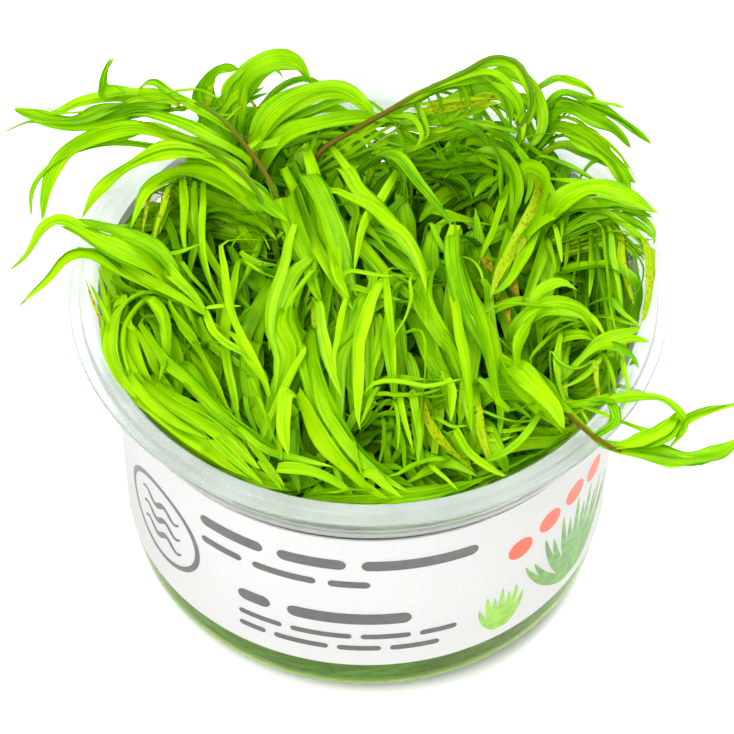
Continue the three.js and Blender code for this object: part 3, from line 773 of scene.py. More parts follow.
def strap_leaves(leaves, rng):
    """Leaves as closed straps: their points, faces and attributes. Each follows its route, as wide as the
    taper says, and its section is a shallow fold that turns about the route by roll at the foot and by
    twist more at the tip. A slow wave changes its width, and a flutter lifts its margins."""
    routes, width, fold, roll, twist, ripple, tint_and_shade, age, held, bend = leaves
    count, stations = routes.shape[:2]
    t = np.linspace(0, 1, stations)
    # The directions across and out of each leaf, turned about its route
    sides, ups = carried_sides(routes)
    turn = (roll[:, None] + twist[:, None] * t)[..., None]
    side = sides * np.cos(turn) + ups * np.sin(turn)
    up = ups * np.cos(turn) - sides * np.sin(turn)
    # How wide each leaf is, and where the points of its section lie
    phase = rng.uniform(0, 2 * np.pi, (count, 1))
    wave = 1 + WAVE * np.sin(phase + t * rng.uniform(*WAVE_RATE, (count, 1)))
    half = width[:, None] / 2 * leaf_taper(t, bend[:, None]) * wave
    rise = fold[:, None] * (1 - FOLD_EASE * np.sin(np.pi * t))
    crease = rng.uniform(-CREASE_SHIFT, CREASE_SHIFT, (count, 1, 1))
    across = (ACROSS + crease * (1 - ACROSS**2)) * half[..., None]
    flutter = ripple[:, None] * np.sin(phase * FLUTTER_PHASE + t * FLUTTER_RATE)
    lift = rise[..., None] * np.abs(ACROSS) * half[..., None] + flutter[..., None] * across * np.abs(ACROSS)
    lift = lift - UNDER * LEAF_THICKNESS
    rings = routes[:, :, None] + across[..., None] * side[:, :, None] + lift[..., None] * up[:, :, None]
    rings = keep_off_wall(rings[:, :-1], held[:, None, None])
    tips = keep_off_wall(routes[:, -1].copy(), held)
    # Each leaf is a closed tube of sections, with its root and tip as the points of two fans
    section = len(ACROSS)
    size = (stations - 1) * section + 2
    ends = np.stack([routes[:, 0], tips], 1)
    points = np.concatenate([rings.reshape(count, -1, 3), ends], 1).reshape(-1, 3)
    first = np.arange(section)
    last = first + (stations - 2) * section
    fans = [fan(size - 2, first, np.roll(first, -1)), fan(size - 1, np.roll(last, -1), last)]
    start = (np.arange(count) * size)[:, None, None]
    sheet = grid_faces(stations - 1, section, closed=True)
    faces = [(sheet + start).reshape(-1, 4), *[(f + start).reshape(-1, 3) for f in fans]]
    # The attributes that make_foliage tells of
    length = np.linalg.norm(np.diff(routes, axis=1), axis=2).sum(1)
    strap = np.zeros((count, size, 3))
    strap[:, :-2, 0] = across[:, :-1].reshape(count, -1)
    strap[:, :-2, 1] = np.repeat(t[:-1] * length[:, None], section, axis=1)
    strap[:, -1, 1] = length
    strap[:, :, 2] = rng.uniform(*LEAF_NUMBERS, (count, 1))
    place = np.zeros((count, size, 3))
    place[:, :-2, 0] = np.tile(np.abs(ACROSS), stations - 1)
    place[:, :-2, 1] = np.repeat(t[:-1], section)
    place[:, -1, 1] = 1
    tint_and_shade_per_point = np.broadcast_to(tint_and_shade[:, None], (count, size))
    ages = np.broadcast_to(age[:, None], (count, size))
    return points, faces, strap.reshape(-1, 3), place.reshape(-1, 3), tint_and_shade_per_point.ravel(), ages.ravel()


def stem_body(points):
    """A stem: a round rod that tapers from root to tip and swells a little at even steps."""
    stations = max(STEM_LEAST_STATIONS, int(np.linalg.norm(np.diff(points, axis=0), axis=1).sum()))
    route = even_route(points, stations)
    route[1:-1] = (route[:-2] + 2 * route[1:-1] + route[2:]) / 4
    t = np.linspace(0, 1, stations)
    side, up = (v[0] for v in carried_sides(route[None]))
    radius = STEM_RADIUS + (STEM_TIP_RADIUS - STEM_RADIUS) * t
    knuckle = np.maximum(0, np.cos(t * stations * 2 * np.pi / KNUCKLE_EVERY)) ** KNUCKLE_POWER
    radius = radius * (1 + KNUCKLE_SWELL * knuckle)
    a = np.linspace(0, 2 * np.pi, STEM_SIDES, endpoint=False)
    ring = np.cos(a)[None, :, None] * side[:, None] + np.sin(a)[None, :, None] * up[:, None]
    body_points, faces = capped_tube(route[:, None] + radius[:, None, None] * ring)
    return body_points, [f[:, ::-1] for f in faces]


# The shoots that can be told apart, as in their solids: a stem from root to tip, then each leaf as where
# it leaves the stem, its width, and the points that it passes.
SHOOTS = {
    "upper_left": ([(-7, 2, 6), (-11, 9, 42), (-16, 16, 66), (-20, 22, 69), (-28, 30, 72), (-37, 33, 70)], [
        (0.97, 4.8, [(-44, 30, 71), (-50, 28, 70), (-55.5, 30.5, 68), (-61, 35, 66)]),
        (0.9, 2.2, [(-45, 30, 68), (-52.5, 29.5, 67), (-58, 31.5, 66), (-62.5, 30, 65)]),
        (0.95, 2.4, [(-44, 32, 72), (-49.5, 31.5, 71), (-52.5, 31.5, 69), (-55.5, 31, 68)]),
        (0.93, 3, [(-42, 32, 73), (-45, 32, 73), (-45.5, 33, 76), (-43.5, 34.5, 79)]),
        (0.82, 2, [(-34.5, 32.5, 73), (-37, 33, 74.5), (-40, 33.5, 72)]),
    ]),
    "left_spray": ([(-13, 3, 6), (-15, 6, 40), (-16, 10, 63), (-20, 17, 67), (-24, 20, 69), (-31, 25, 69)], [
        (0.97, 4.4, [(-40, 26.5, 70), (-47, 25, 69), (-51.5, 23, 67), (-54, 18.5, 65), (-55, 12.5, 62)]),
        (0.9, 2.2, [(-45, 24.5, 68), (-53, 22, 66), (-56.5, 18, 64), (-57, 14, 61)]),
        (0.8, 4.2, [(-25.5, 20, 69), (-33.5, 21.5, 70), (-40.5, 19.5, 68), (-45.5, 16.5, 65),
            (-48.5, 13, 62)]),
        (0.72, 3.8, [(-26.5, 18, 67), (-32.5, 19.5, 66.5), (-37.5, 17.5, 64), (-40, 12.5, 60)]),
    ]),
    "left_hook": ([(-24, -9, 6), (-26, -9, 38), (-28, -6, 61)], [
        (0.95, 4.4, [(-36.5, -1, 66), (-44.5, 2.5, 68), (-51.5, 6, 69), (-54, 5, 68), (-55.5, 3.5, 66),
            (-57, 2.5, 64), (-60, 1, 62)]),
        (0.88, 4, [(-35, 1.5, 66), (-41.5, 5, 67), (-47, 6, 68), (-51, 7, 68)]),
        (0.85, 3.2, [(-40.5, -0.5, 64), (-45.5, 2.5, 65.5), (-49.5, 3, 64.5), (-53.5, -1, 62.5),
            (-58, -6, 61)]),
    ]),
    "front_curl": ([(-30, -14, 6), (-35, -13, 36), (-37, -9, 52)], [
        (0.98, 5.5, [(-40, -6, 61), (-41, -13, 59), (-38, -20, 58), (-33, -27, 57), (-25, -34, 56)]),
        (0.85, 4.6, [(-36, -20, 60), (-31, -26, 61), (-25, -30, 61), (-18, -36, 57)]),
        (0.8, 3, [(-30, -20, 62), (-24, -29, 62), (-14, -35, 59), (-6, -38, 57)]),
        (0.9, 2, [(-41, -14, 58), (-43, -11, 63), (-46, -5, 66)]),
    ]),
    "back_arch": ([(-19, 20, 6), (-20, 22, 40), (-21, 23, 61)], [
        (0.95, 4.6, [(-24.5, 29, 66), (-28.5, 34, 70), (-28, 34.5, 74), (-25.5, 34.5, 77), (-22.5, 36, 75)]),
        (0.97, 5.4, [(-22.5, 31.5, 69), (-21, 34, 75), (-17, 35, 77.5), (-13, 36.5, 75.5), (-10, 35, 72)]),
        (0.9, 4, [(-17.5, 28, 71), (-12, 31.5, 73.5), (-5.5, 32.5, 74), (-1.5, 31, 72), (1, 29, 69)]),
        (0.88, 3.6, [(-15, 26, 69), (-8.5, 28, 70.5), (-1.5, 29.5, 70.5), (5, 30.5, 68.5)]),
    ]),
    "back_runner": ([(-11, 18, 6), (-11, 23, 45), (-9, 25, 66), (-3.5, 27, 69.5), (2.5, 28.5, 73),
        (10, 32, 75.5), (16, 33.5, 78), (20, 35, 80), (24, 35, 79), (26.5, 31.5, 77), (27, 29.5, 74),
        (24.5, 27.5, 70)], [
        (0.68, 3.4, [(17.5, 33, 77), (21, 32.5, 75), (23, 30.5, 73), (23.5, 28, 70)]),
        (0.72, 2, [(20, 33, 78), (23.5, 31, 76), (25, 29, 74), (24, 28, 71)]),
        (0.62, 1.8, [(14.5, 32.5, 75), (16, 31, 73), (16, 30.5, 69)]),
        (0.36, 4, [(3, 23, 68), (8, 18, 66), (14, 12, 62)]),
    ]),
    "right_spray": ([(20, 18, 6), (23, 22, 40), (26, 26, 63), (29, 31, 67)], [
        (0.98, 2.2, [(28, 34, 72), (31, 35, 75), (35.5, 34.5, 74), (38.5, 33.5, 71)]),
        (0.97, 3.4, [(32, 34, 72), (38, 32, 71), (43, 30, 69), (47.5, 28.5, 66)]),
        (0.95, 3, [(32, 32, 71), (38, 30, 70), (41, 29.5, 68.5), (44, 27.5, 66)]),
        (0.93, 1.6, [(32, 31.5, 69), (38.5, 28, 68), (42.5, 25, 66), (44, 21.5, 63)]),
        (0.9, 4.6, [(31, 30, 68), (36.5, 27.5, 67.5), (41, 24, 65.5), (44, 20.5, 62)]),
        (0.85, 3.6, [(31.5, 28.5, 65), (36.5, 26.5, 65), (41.5, 24.5, 64), (45, 23, 62)]),
    ]),
    "right_bundle": ([(25, 4, 6), (27, 6, 40), (28, 9, 61)], [
        (0.97, 4.6, [(32, 13.5, 67), (36.5, 15, 69), (40.5, 14.5, 69), (44.5, 13.5, 68), (47.5, 13, 66)]),
        (0.93, 4, [(32, 11.5, 65), (37, 13, 66.5), (43, 12.5, 66.5), (47.5, 13, 64.5)]),
        (0.85, 3.6, [(34, 4, 61), (40, 3, 63), (44, 0, 62), (44, -6, 58)]),
    ]),
    "right_loops": ([(26, -11, 6), (27, -12, 36), (26, -13, 56)], [
        (0.9, 4, [(25, -11, 63), (29, -8, 65), (35, -8, 64), (38, -10, 60)]),
        (0.85, 3.4, [(32, -12, 62), (37, -12, 62), (39, -17, 59)]),
        (0.8, 3, [(34, -16, 55), (40, -13, 57), (41, -19, 58)]),
    ]),
    "over_rim": ([(22, -18, 6), (27, -19, 36), (30, -20, 58), (32.5, -28, 62), (36.5, -34.5, 64),
        (41, -38, 64)], [
        (0.98, 4.8, [(45.5, -38.5, 64), (51, -38, 62.5), (56.5, -36, 61.5), (62, -31, 61)]),
        (0.98, 2.6, [(44.5, -36, 65), (48, -34, 65.5), (50.5, -30, 65)]),
        (0.8, 2.2, [(37.5, -28.5, 65), (44, -29, 67), (48, -29.5, 67), (51, -32.5, 65), (48.5, -36.5, 63)]),
        (0.95, 2, [(44.5, -37, 64.5), (48.5, -35.5, 65), (51, -31.5, 65), (55, -28.5, 64), (61.5, -25, 62)]),
        (0.93, 1.8, [(40, -33, 66), (39, -29, 66), (36, -28, 65)]),
    ]),
    "middle_back": ([(-4, 15, 6), (-7, 16, 36), (-10, 17, 60)], [
        (0.97, 4.6, [(-11, 20, 66), (-8, 12, 68), (-5, 2, 67), (-2, -8, 63)]),
        (0.9, 4, [(-14, 16, 65), (-12, 7, 66), (-7, -3, 62)]),
        (0.92, 3.2, [(-5, 22, 66), (-2, 16, 67), (3, 10, 66), (8, 3, 64), (11, -4, 61)]),
    ]),
    "middle_fold": ([(-12, -14, 6), (-13, -12, 34), (-13, -8, 56)], [
        (0.95, 4, [(-14, -8, 64), (-15, -13, 65), (-13, -18, 64), (-15, -26, 61), (-16, -31, 57)]),
        (0.9, 4.6, [(-10, -14, 63), (-9, -22, 65), (-6, -30, 63), (-1, -36, 60), (8, -40, 57)]),
        (0.85, 3.4, [(-19, -14, 62), (-19, -22, 60), (-14, -35, 57)]),
    ]),
    "middle_front": ([(2, -16, 6), (0, -14, 36), (-1, -12, 56)], [
        (0.95, 4, [(0, -7, 64), (-2, -14, 64), (-2, -22, 61), (-2, -29, 57)]),
        (0.9, 3.4, [(4, -10, 63), (5, -15, 62), (6, -21, 58)]),
        (0.85, 3.2, [(2, -20, 60), (7, -22, 62), (12, -22, 62), (16, -21, 61)]),
        (0.7, 3.6, [(3, -24, 54), (8, -33, 57), (15, -35, 57)]),
    ]),
    "middle_right": ([(13, -2, 6), (14, -1, 36), (15, 1, 60)], [
        (0.96, 3.2, [(14, 6, 67), (14, -1, 68), (16, -9, 66), (20, -16, 62), (22, -22, 57)]),
        (0.92, 4, [(11, 0, 65), (9, -7, 66), (12, -13, 64), (16, -17, 60)]),
        (0.88, 3.4, [(17, -8, 62), (17, -17, 62), (16, -24, 61), (15, -29, 59)]),
        (0.85, 2.4, [(19, -6, 61), (25, -5, 63), (32, -5, 61)]),
    ]),
    "twisted": ([(17, 10, 6), (20, 12, 38), (23, 17, 60)], [
        (0.97, 4.2, [(26, 22, 66), (29, 18, 68), (28, 12, 67), (24, 5, 66), (21, -4, 62)]),
        (0.9, 3.4, [(24, 10, 63), (22, 3, 63), (19, -3, 59)]),
    ]),
    "front_right": ([(11, -26, 6), (13, -27, 34), (14, -27, 52)], [
        (0.95, 4.2, [(18, -29, 59), (21, -34, 59), (23, -36, 56)]),
        (0.9, 3, [(13, -30, 59), (15, -33, 58), (17, -38, 55)]),
        (0.92, 4.4, [(20, -23, 61), (27, -24, 61), (33, -27, 58)]),
    ]),
}

# Leaves that lie over the top of the tangle, each as its width, its tone, and the points that it passes
# from its base to its tip. Each leaves the nearest stem below its first point. The tones hold painted light
# and shade as well as each leaf's own hue: paler for the leaves on top, darker for those lower down.
CANOPY = [
    (3.3, "bright", [(-11, 26, 66), (-9.5, 19.5, 66.5), (-8.5, 11.5, 66.5), (-6, 4, 67), (-5, -3.5, 67),
        (-3, -8.5, 67)]),
    (2.5, "bright", [(-14.5, 23, 65), (-12.5, 16.5, 65.5), (-11, 10.5, 65.5), (-9, 5, 66), (-7, -0.5, 66),
        (-4.5, -6, 66), (-2.5, -10, 66)]),
    (2.1, "bright", [(-12.5, 9, 66.5), (-13.5, 4.5, 66.5), (-14, 0, 66.5), (-15, -4.5, 66.5), (-16, -9, 66),
        (-16, -16, 65.5), (-15, -19, 65), (-15, -22.5, 64.5), (-15, -26.5, 63.5)]),
    (1.9, "bright", [(-8.5, -1, 66.5), (-11, -4.5, 66), (-13, -9, 66), (-13, -12, 65.5), (-12, -15, 65.5),
        (-11, -18, 65), (-10, -22, 64.5), (-9, -26, 64)]),
    (2, "bright", [(-10.5, -19, 66), (-12.5, -23, 65), (-14, -26.5, 64), (-15.5, -30, 63),
        (-17, -34.5, 61.5)]),
    (2.6, "green", [(-7, 1.5, 63), (-7, -5, 63), (-7.5, -10, 62.5), (-7.5, -15.5, 62), (-7, -19, 61.5),
        (-6, -24, 61), (-5, -28.5, 60)]),
    (2.4, "bright", [(-8.5, -21, 65.5), (-8, -25.5, 65), (-7, -29.5, 64), (-5, -33, 63), (-2.5, -36.5, 62),
        (0.5, -39, 60.5), (4, -41.5, 60), (7.5, -43, 59)]),
    (3.8, "bright", [(-11.5, -26, 64), (-10, -28.5, 63.5), (-8.5, -32, 62.5), (-6, -36, 61.5),
        (-3, -39, 60.5), (0.5, -42, 59), (4, -43.5, 58)]),
    (2.6, "bright", [(2.5, -3.5, 67), (0.5, -8, 67), (-0.5, -12, 66.5), (-1.5, -16.5, 66),
        (-1.5, -21.5, 65.5), (-1.5, -26, 64.5), (-1.5, -30.5, 63.5), (-1, -33, 62.5)]),
    (2.1, "green", [(1, -8, 63.5), (2, -12, 63.5), (1.5, -16, 63), (0.5, -20, 62.5), (0.5, -25.5, 61.5)]),
    (2.1, "bright", [(-6.5, 15.5, 67.5), (-3.5, 14, 67.5), (0.5, 11.5, 67.5), (3.5, 8, 67.5), (6, 5, 68),
        (8, 1, 67.5), (9, -3.5, 67.5), (9.5, -7, 67.5)]),
    (2.1, "bright", [(-8.5, 28, 66), (-5, 23, 66.5), (-3, 19, 66.5), (0, 13.5, 66.5), (3, 9.5, 67),
        (5.5, 6, 67)]),
    (2.1, "bright", [(4.5, 21, 66.5), (3, 17.5, 66.5), (1.5, 14, 66.5), (-0.5, 10, 67), (-1.5, 6, 67),
        (-2, 2, 67), (-2.5, -2.5, 67)]),
    (1.4, "bright", [(-4, -3.5, 68), (-0.5, -3.5, 68), (2, -4, 68), (4.5, -4, 68)]),
    (1.9, "bright", [(3, -2, 67.5), (3, -7.5, 67.5), (3.5, -13, 67), (4, -17.5, 66.5), (4.5, -24, 65.5)]),
    (2.4, "bright", [(3, -2.5, 67), (5.5, -3.5, 67), (8, -6, 66.5), (9.5, -9, 66.5), (10, -13, 66)]),
    (0.9, "bright", [(7, -3.5, 67.5), (7, -8.5, 67.5), (6, -13, 67.5), (4.5, -16, 67), (4, -19, 66.5)]),
    (1.7, "deep_in_shade", [(6.5, -1.5, 63), (5.5, -4.5, 63), (4.5, -10, 62.5)]),
    (1.8, "bright", [(1, -26, 66), (5.5, -25.5, 66), (9.5, -26, 65.5), (13, -25, 65.5), (15.5, -24, 65.5)]),
    (1.6, "bright", [(1, -27, 64.5), (5.5, -27, 64.5), (9.5, -26.5, 64.5), (12.5, -25, 64.5)]),
    (1.6, "bright", [(2, -25, 64.5), (1, -27, 64.5), (0, -29.5, 63.5), (-1, -32, 63)]),
    (1.2, "green", [(5, -26.5, 63.5), (4, -28.5, 63), (2.5, -29.5, 62.5), (1, -29, 63)]),
    (1.4, "bright", [(5.5, -26, 64), (6, -30.5, 63), (7, -33.5, 61.5), (7.5, -35.5, 61)]),
    (1.9, "bright", [(7.5, -26, 64.5), (8, -30, 63), (8.5, -33.5, 62), (8.5, -36.5, 61)]),
    (2, "green", [(12.5, -36.5, 60), (10.5, -37, 60.5), (7.5, -38, 60), (5, -39.5, 59.5), (3, -40, 59.5)]),
    (2.8, "bright", [(-14.5, -38.5, 59.5), (-10.5, -39, 60), (-7.5, -40, 60), (-4.5, -41.5, 59.5),
        (-2, -43, 58.5)]),
    (1.7, "bright", [(-21, -31.5, 61.5), (-18, -34.5, 61), (-15.5, -36, 60.5), (-12, -37, 60.5),
        (-8.5, -38, 60.5), (-5, -39, 60.5)]),
    (1.7, "green", [(-19, -33.5, 60.5), (-16.5, -37, 59.5), (-14, -40, 58.5), (-13, -41.5, 58)]),
    (2.2, "bright", [(-21.5, -14.5, 63.5), (-19.5, -18.5, 63), (-17, -22.5, 63), (-16, -26.5, 62)]),
    (0.7, "bright", [(-19, -22.5, 63), (-18, -25, 62.5), (-16.5, -28, 62)]),
    (1.4, "deep_in_shade", [(-6, -15, 61.5), (-5, -19, 61), (-5, -23.5, 60.5), (-4.5, -28, 59.5)]),
    (1.4, "bright", [(-3.5, -8, 67), (-4.5, -12, 66.5), (-5, -16, 66), (-5.5, -20, 65.5), (-5, -22.5, 65)]),
    (0.9, "green", [(-2.5, -14.5, 62.5), (-3.5, -19, 62), (-4.5, -23.5, 61.5)]),
    (1.2, "yellow", [(-9.5, -4, 62.5), (-9, -9, 62.5), (-9, -13, 62)]),
    (2.5, "green", [(-9.5, 3, 65), (-12, -0.5, 65), (-13.5, -4, 64.5), (-14.5, -8.5, 64.5), (-16, -14, 64)]),
    (1.9, "deep_in_shade", [(-1.5, 11, 62.5), (-0.5, 4.5, 63), (0.5, -1.5, 63), (1, -5, 63)]),
    (1.7, "green", [(-2.5, 15, 64.5), (-3, 8, 64.5), (-3, 2, 64.5), (-2.5, -3.5, 64.5), (-1.5, -7, 64.5)]),
    (1.3, "green", [(-21.5, 5, 63.5), (-18.5, 2.5, 63.5), (-15, 1.5, 64)]),
    (1, "green", [(-21, 4, 63), (-18, 1, 63), (-15, -1, 63.5)]),
    (2, "bright", [(-25, 20, 67), (-28, 21, 67), (-30.5, 20.5, 66.5), (-34.5, 18.5, 66), (-37.5, 15.5, 66),
        (-39, 11.5, 65.5), (-40, 8, 65)]),
    (3.9, "green", [(-31, 24.5, 65.5), (-26.5, 22, 65.5), (-22.5, 18.5, 66), (-18, 14, 66),
        (-13.5, 9, 66.5)]),
    (3.2, "green", [(-27.5, 14.5, 62.5), (-24.5, 14.5, 63), (-21.5, 13, 63), (-18.5, 11, 63.5),
        (-15.5, 7.5, 63.5)]),
    (1.2, "yellow", [(-33.5, 18.5, 65), (-34.5, 14, 64.5), (-35.5, 9.5, 64.5), (-36, 5.5, 64)]),
    (1, "yellow", [(-34.5, 18, 64.5), (-35, 12.5, 64), (-35, 8, 64)]),
    (0.9, "yellow", [(-36.5, 17.5, 64), (-37.5, 13, 64), (-38, 8, 63.5)]),
    (1.9, "bright", [(-31.5, 21, 64.5), (-31, 14, 64.5), (-31, 7.5, 64.5), (-30.5, 3.5, 64.5)]),
    (1.6, "green", [(-29.5, 20.5, 64), (-29.5, 14, 64), (-28.5, 7, 64), (-27.5, 1.5, 64), (-26, -3.5, 64),
        (-24, -8.5, 64)]),
    (1.4, "bright", [(-27.5, 20.5, 65), (-28, 14, 65), (-28, 7, 65), (-27.5, 2, 65), (-26, -4, 65)]),
    (2.7, "bright", [(-43, 9, 64), (-39, 5, 64), (-35, 1, 64.5), (-31.5, -3.5, 65), (-28, -8, 65),
        (-26.5, -11.5, 65)]),
    (2.3, "bright", [(-41.5, 1.5, 64), (-37.5, -2, 64.5), (-33, -5.5, 65), (-29.5, -8.5, 65.5),
        (-26.5, -11.5, 65.5)]),
    (1.3, "bright", [(-33.5, 1.5, 64.5), (-31, -2.5, 64.5), (-28.5, -6, 64.5), (-26.5, -9.5, 64.5)]),
    (1.7, "green", [(-31.5, 2.5, 63.5), (-29.5, -1, 63.5), (-27, -4.5, 63.5), (-25, -8, 63.5)]),
    (0.9, "green", [(-34, 2, 65), (-31, 3, 65.5), (-27.5, 4.5, 66)]),
    (1.6, "bright", [(-24.5, 4.5, 66), (-24, -0.5, 66), (-23.5, -5.5, 66), (-22.5, -10.5, 65.5),
        (-20.5, -16, 65.5), (-18.5, -20, 65), (-16.5, -24.5, 64.5), (-15.5, -27.5, 63.5)]),
    (2.1, "deep_in_shade", [(-23.5, 10, 59.5), (-21.5, 4, 59.5), (-20.5, -2.5, 59.5), (-19.5, -9, 59.5)]),
    (4.1, "deep_in_shade", [(-22, 8, 58.5), (-19, 2.5, 59), (-16, -2.5, 59)]),
    (2.3, "green", [(-23, 6, 62.5), (-22, 8.5, 63), (-20, 10, 63), (-18, 9, 63), (-16.5, 5.5, 63)]),
    (1.1, "bright", [(-26.5, -9, 65), (-24, -8.5, 65), (-21, -9, 65.5)]),
    (2.5, "bright", [(-39, -3.5, 63), (-36, -6.5, 63.5), (-34, -10, 63.5), (-33, -13.5, 63),
        (-32.5, -17.5, 62.5)]),
    (2.2, "bright", [(-33, -7, 64.5), (-31, -11.5, 64), (-28.5, -15.5, 64), (-26.5, -20, 63.5),
        (-24.5, -24.5, 63), (-22.5, -29, 62.5), (-21, -31.5, 62)]),
    (1.1, "green", [(-31.5, -4, 63.5), (-29.5, -9, 63.5), (-27.5, -14, 63)]),
    (1.7, "bright", [(-27, -9, 64.5), (-25.5, -13.5, 64.5), (-23.5, -16, 64.5), (-21, -18, 64.5),
        (-19, -20, 64.5)]),
    (1.1, "bright", [(-28.5, -14.5, 63), (-25.5, -15, 63.5), (-23.5, -15.5, 63.5)]),
    (3.8, "bright", [(-41.5, -12, 61.5), (-40, -17.5, 61), (-37.5, -23, 60), (-34.5, -27, 60),
        (-30.5, -31, 59.5), (-26, -34.5, 59), (-22, -38, 58.5), (-18.5, -40, 58.5)]),
    (4.5, "bright", [(-37, -22.5, 61), (-33, -25, 61), (-29, -28, 61.5), (-24.5, -31.5, 61),
        (-20.5, -35.5, 60.5), (-17, -39, 59.5)]),
    (4.2, "bright", [(-41, -4, 62), (-40.5, -10, 61.5), (-39, -15, 61), (-37, -19.5, 60.5),
        (-34.5, -23.5, 60.5)]),
    (2.3, "bright", [(-37.5, -10.5, 63.5), (-35.5, -15, 63.5), (-33, -19, 63), (-29.5, -22.5, 63),
        (-26.5, -26, 63), (-23.5, -29.5, 62.5), (-20, -32.5, 62)]),
    (2.6, "bright", [(-41, -9, 61.5), (-38.5, -11.5, 62), (-36, -15.5, 61.5), (-34.5, -20, 61),
        (-32, -23, 61)]),
    (3.2, "bright", [(-30.5, -27, 60.5), (-26.5, -30.5, 60.5), (-22.5, -33, 60), (-19.5, -36.5, 59.5),
        (-17, -39.5, 58.5)]),
    (2.4, "deep_in_shade", [(-24.5, -18.5, 58.5), (-22, -21, 58.5), (-19.5, -23, 58.5), (-17, -25, 58.5)]),
    (1.2, "green", [(-20, -23.5, 60), (-19.5, -26.5, 59.5), (-18, -30, 58.5), (-17, -32.5, 58)]),
    (1.9, "green", [(-17, -37, 59.5), (-15, -39.5, 58.5), (-13.5, -42, 58)]),
    (3.3, "bright", [(7, -4, 64.5), (9.5, -8, 64.5), (11.5, -12, 64), (14, -16, 63.5), (15.5, -20, 62.5),
        (16.5, -23, 62)]),
    (3.3, "bright", [(14.5, 9.5, 66.5), (13.5, 4.5, 66.5), (14.5, -1, 66.5), (16, -6, 66), (18, -10, 66),
        (20, -14.5, 65), (21, -18.5, 64.5), (21, -22.5, 63.5)]),
    (2.2, "bright", [(13.5, -4, 66.5), (14.5, -9.5, 66), (15, -14, 65.5), (16, -19, 65), (16.5, -23.5, 64),
        (17, -28, 63), (17, -32.5, 61.5)]),
    (1.7, "yellow", [(18, -27, 62.5), (18.5, -31.5, 61.5), (19.5, -35, 60), (21, -38, 58.5)]),
    (2.4, "yellow", [(9, -26.5, 63.5), (10, -30.5, 62.5), (12, -33.5, 61.5), (15, -36, 60), (17.5, -38, 59)]),
    (1.3, "green", [(11, -29.5, 62), (14, -31, 61.5), (16.5, -30.5, 61.5)]),
    (0.8, "green", [(10, -20.5, 63), (12, -21.5, 62.5), (14, -22.5, 62.5)]),
    (1.4, "bright", [(10.5, -38, 60), (13, -40, 59), (15, -41.5, 58)]),
    (2.6, "deep_in_shade", [(10.5, -35.5, 58.5), (14.5, -36, 58), (18, -37.5, 57)]),
    (4.2, "bright", [(21.5, -19, 64.5), (23, -22, 64), (25.5, -24.5, 63), (28.5, -27, 61.5), (31, -29, 60.5),
        (32, -30.5, 59.5)]),
    (1.1, "bright", [(19, -11, 66.5), (21, -9, 66.5), (24, -8, 66), (27.5, -8, 65.5), (31, -8, 65),
        (32.5, -9.5, 64.5)]),
    (3.4, "bright", [(25, -21, 63.5), (25, -16.5, 64), (26.5, -11.5, 64.5), (28.5, -9, 64.5), (31, -8, 64),
        (32.5, -9.5, 63.5)]),
    (2, "bright", [(26.5, -18.5, 63.5), (28.5, -15, 64), (31, -12, 64), (33.5, -10, 63.5), (35.5, -9, 63),
        (37, -11.5, 62.5), (38, -15.5, 61.5)]),
    (1.1, "bright", [(34, -6.5, 63.5), (37, -8, 63), (38.5, -10.5, 62.5), (39.5, -12.5, 62)]),
    (1.2, "bright", [(38.5, -15, 61.5), (36.5, -18.5, 61.5), (34.5, -20.5, 61.5), (31.5, -22.5, 61.5)]),
    (0.9, "green", [(30, -15.5, 63), (31.5, -17.5, 62.5), (34, -18, 61.5), (37, -16.5, 61.5)]),
    (0.7, "green", [(34, -9, 60), (33, -12.5, 59.5), (32, -15.5, 59.5)]),
    (2.4, "bright", [(29.5, 13, 65), (27, 7.5, 65), (25, 2, 65), (23, -2.5, 65), (20, -6, 65.5)]),
    (2.8, "yellow", [(26, 24.5, 66), (28.5, 20, 66), (28, 15, 66), (26, 9, 66), (23.5, 3.5, 66),
        (21.5, -1.5, 66.5), (20, -7, 66)]),
    (1.6, "green", [(25.5, 27, 62), (23.5, 22.5, 62), (22, 17, 62.5), (20.5, 11, 62.5), (19, 6.5, 62.5),
        (18, 3, 62.5)]),
    (1.1, "green", [(15, 8.5, 62.5), (17, 9, 62), (20, 10, 62)]),
    (0.7, "green", [(15, 4, 64), (17, 3.5, 64), (18.5, 1, 64), (19, -3, 64)]),
    (1.4, "green", [(10, 13, 62.5), (11.5, 9, 62.5), (13, 5.5, 62.5), (14, 2.5, 62.5)]),
    (1.4, "green", [(13.5, 4.5, 62), (12, 2.5, 62), (10, 1, 62.5)]),
    (1.3, "deep_in_shade", [(6.5, 24.5, 58), (10, 26.5, 58), (13.5, 29, 58), (16.5, 31, 58)]),
    (1.3, "deep_in_shade", [(6, 27, 58), (9.5, 29, 58), (13, 31.5, 58)]),
    (1.4, "deep_in_shade", [(7, 23, 57.5), (11.5, 23.5, 57), (15.5, 24.5, 57)]),
    (1.4, "deep_in_shade", [(5.5, 32, 60), (5.5, 25, 60), (4.5, 19, 60), (3.5, 14, 60.5)]),
    (1.8, "green", [(22, 24.5, 61.5), (19.5, 23, 61.5), (17.5, 20, 61.5)]),
    (1.5, "deep_in_shade", [(22.5, 31.5, 59.5), (23, 24.5, 59.5), (23, 18, 59.5)]),
    (0.9, "green", [(18, -27.5, 61.5), (21.5, -28.5, 61), (25, -28.5, 60), (28.5, -27.5, 60)]),
    (1.1, "green", [(18.5, -30, 60), (22.5, -30, 59.5), (27, -28.5, 59)]),
    (0.9, "bright", [(19, -32.5, 60), (21.5, -32, 59.5), (24, -31, 59.5)]),
    (2.7, "deep_in_shade", [(21, -32.5, 57.5), (26, -30.5, 57), (30, -29.5, 56.5), (33.5, -27.5, 56.5)]),
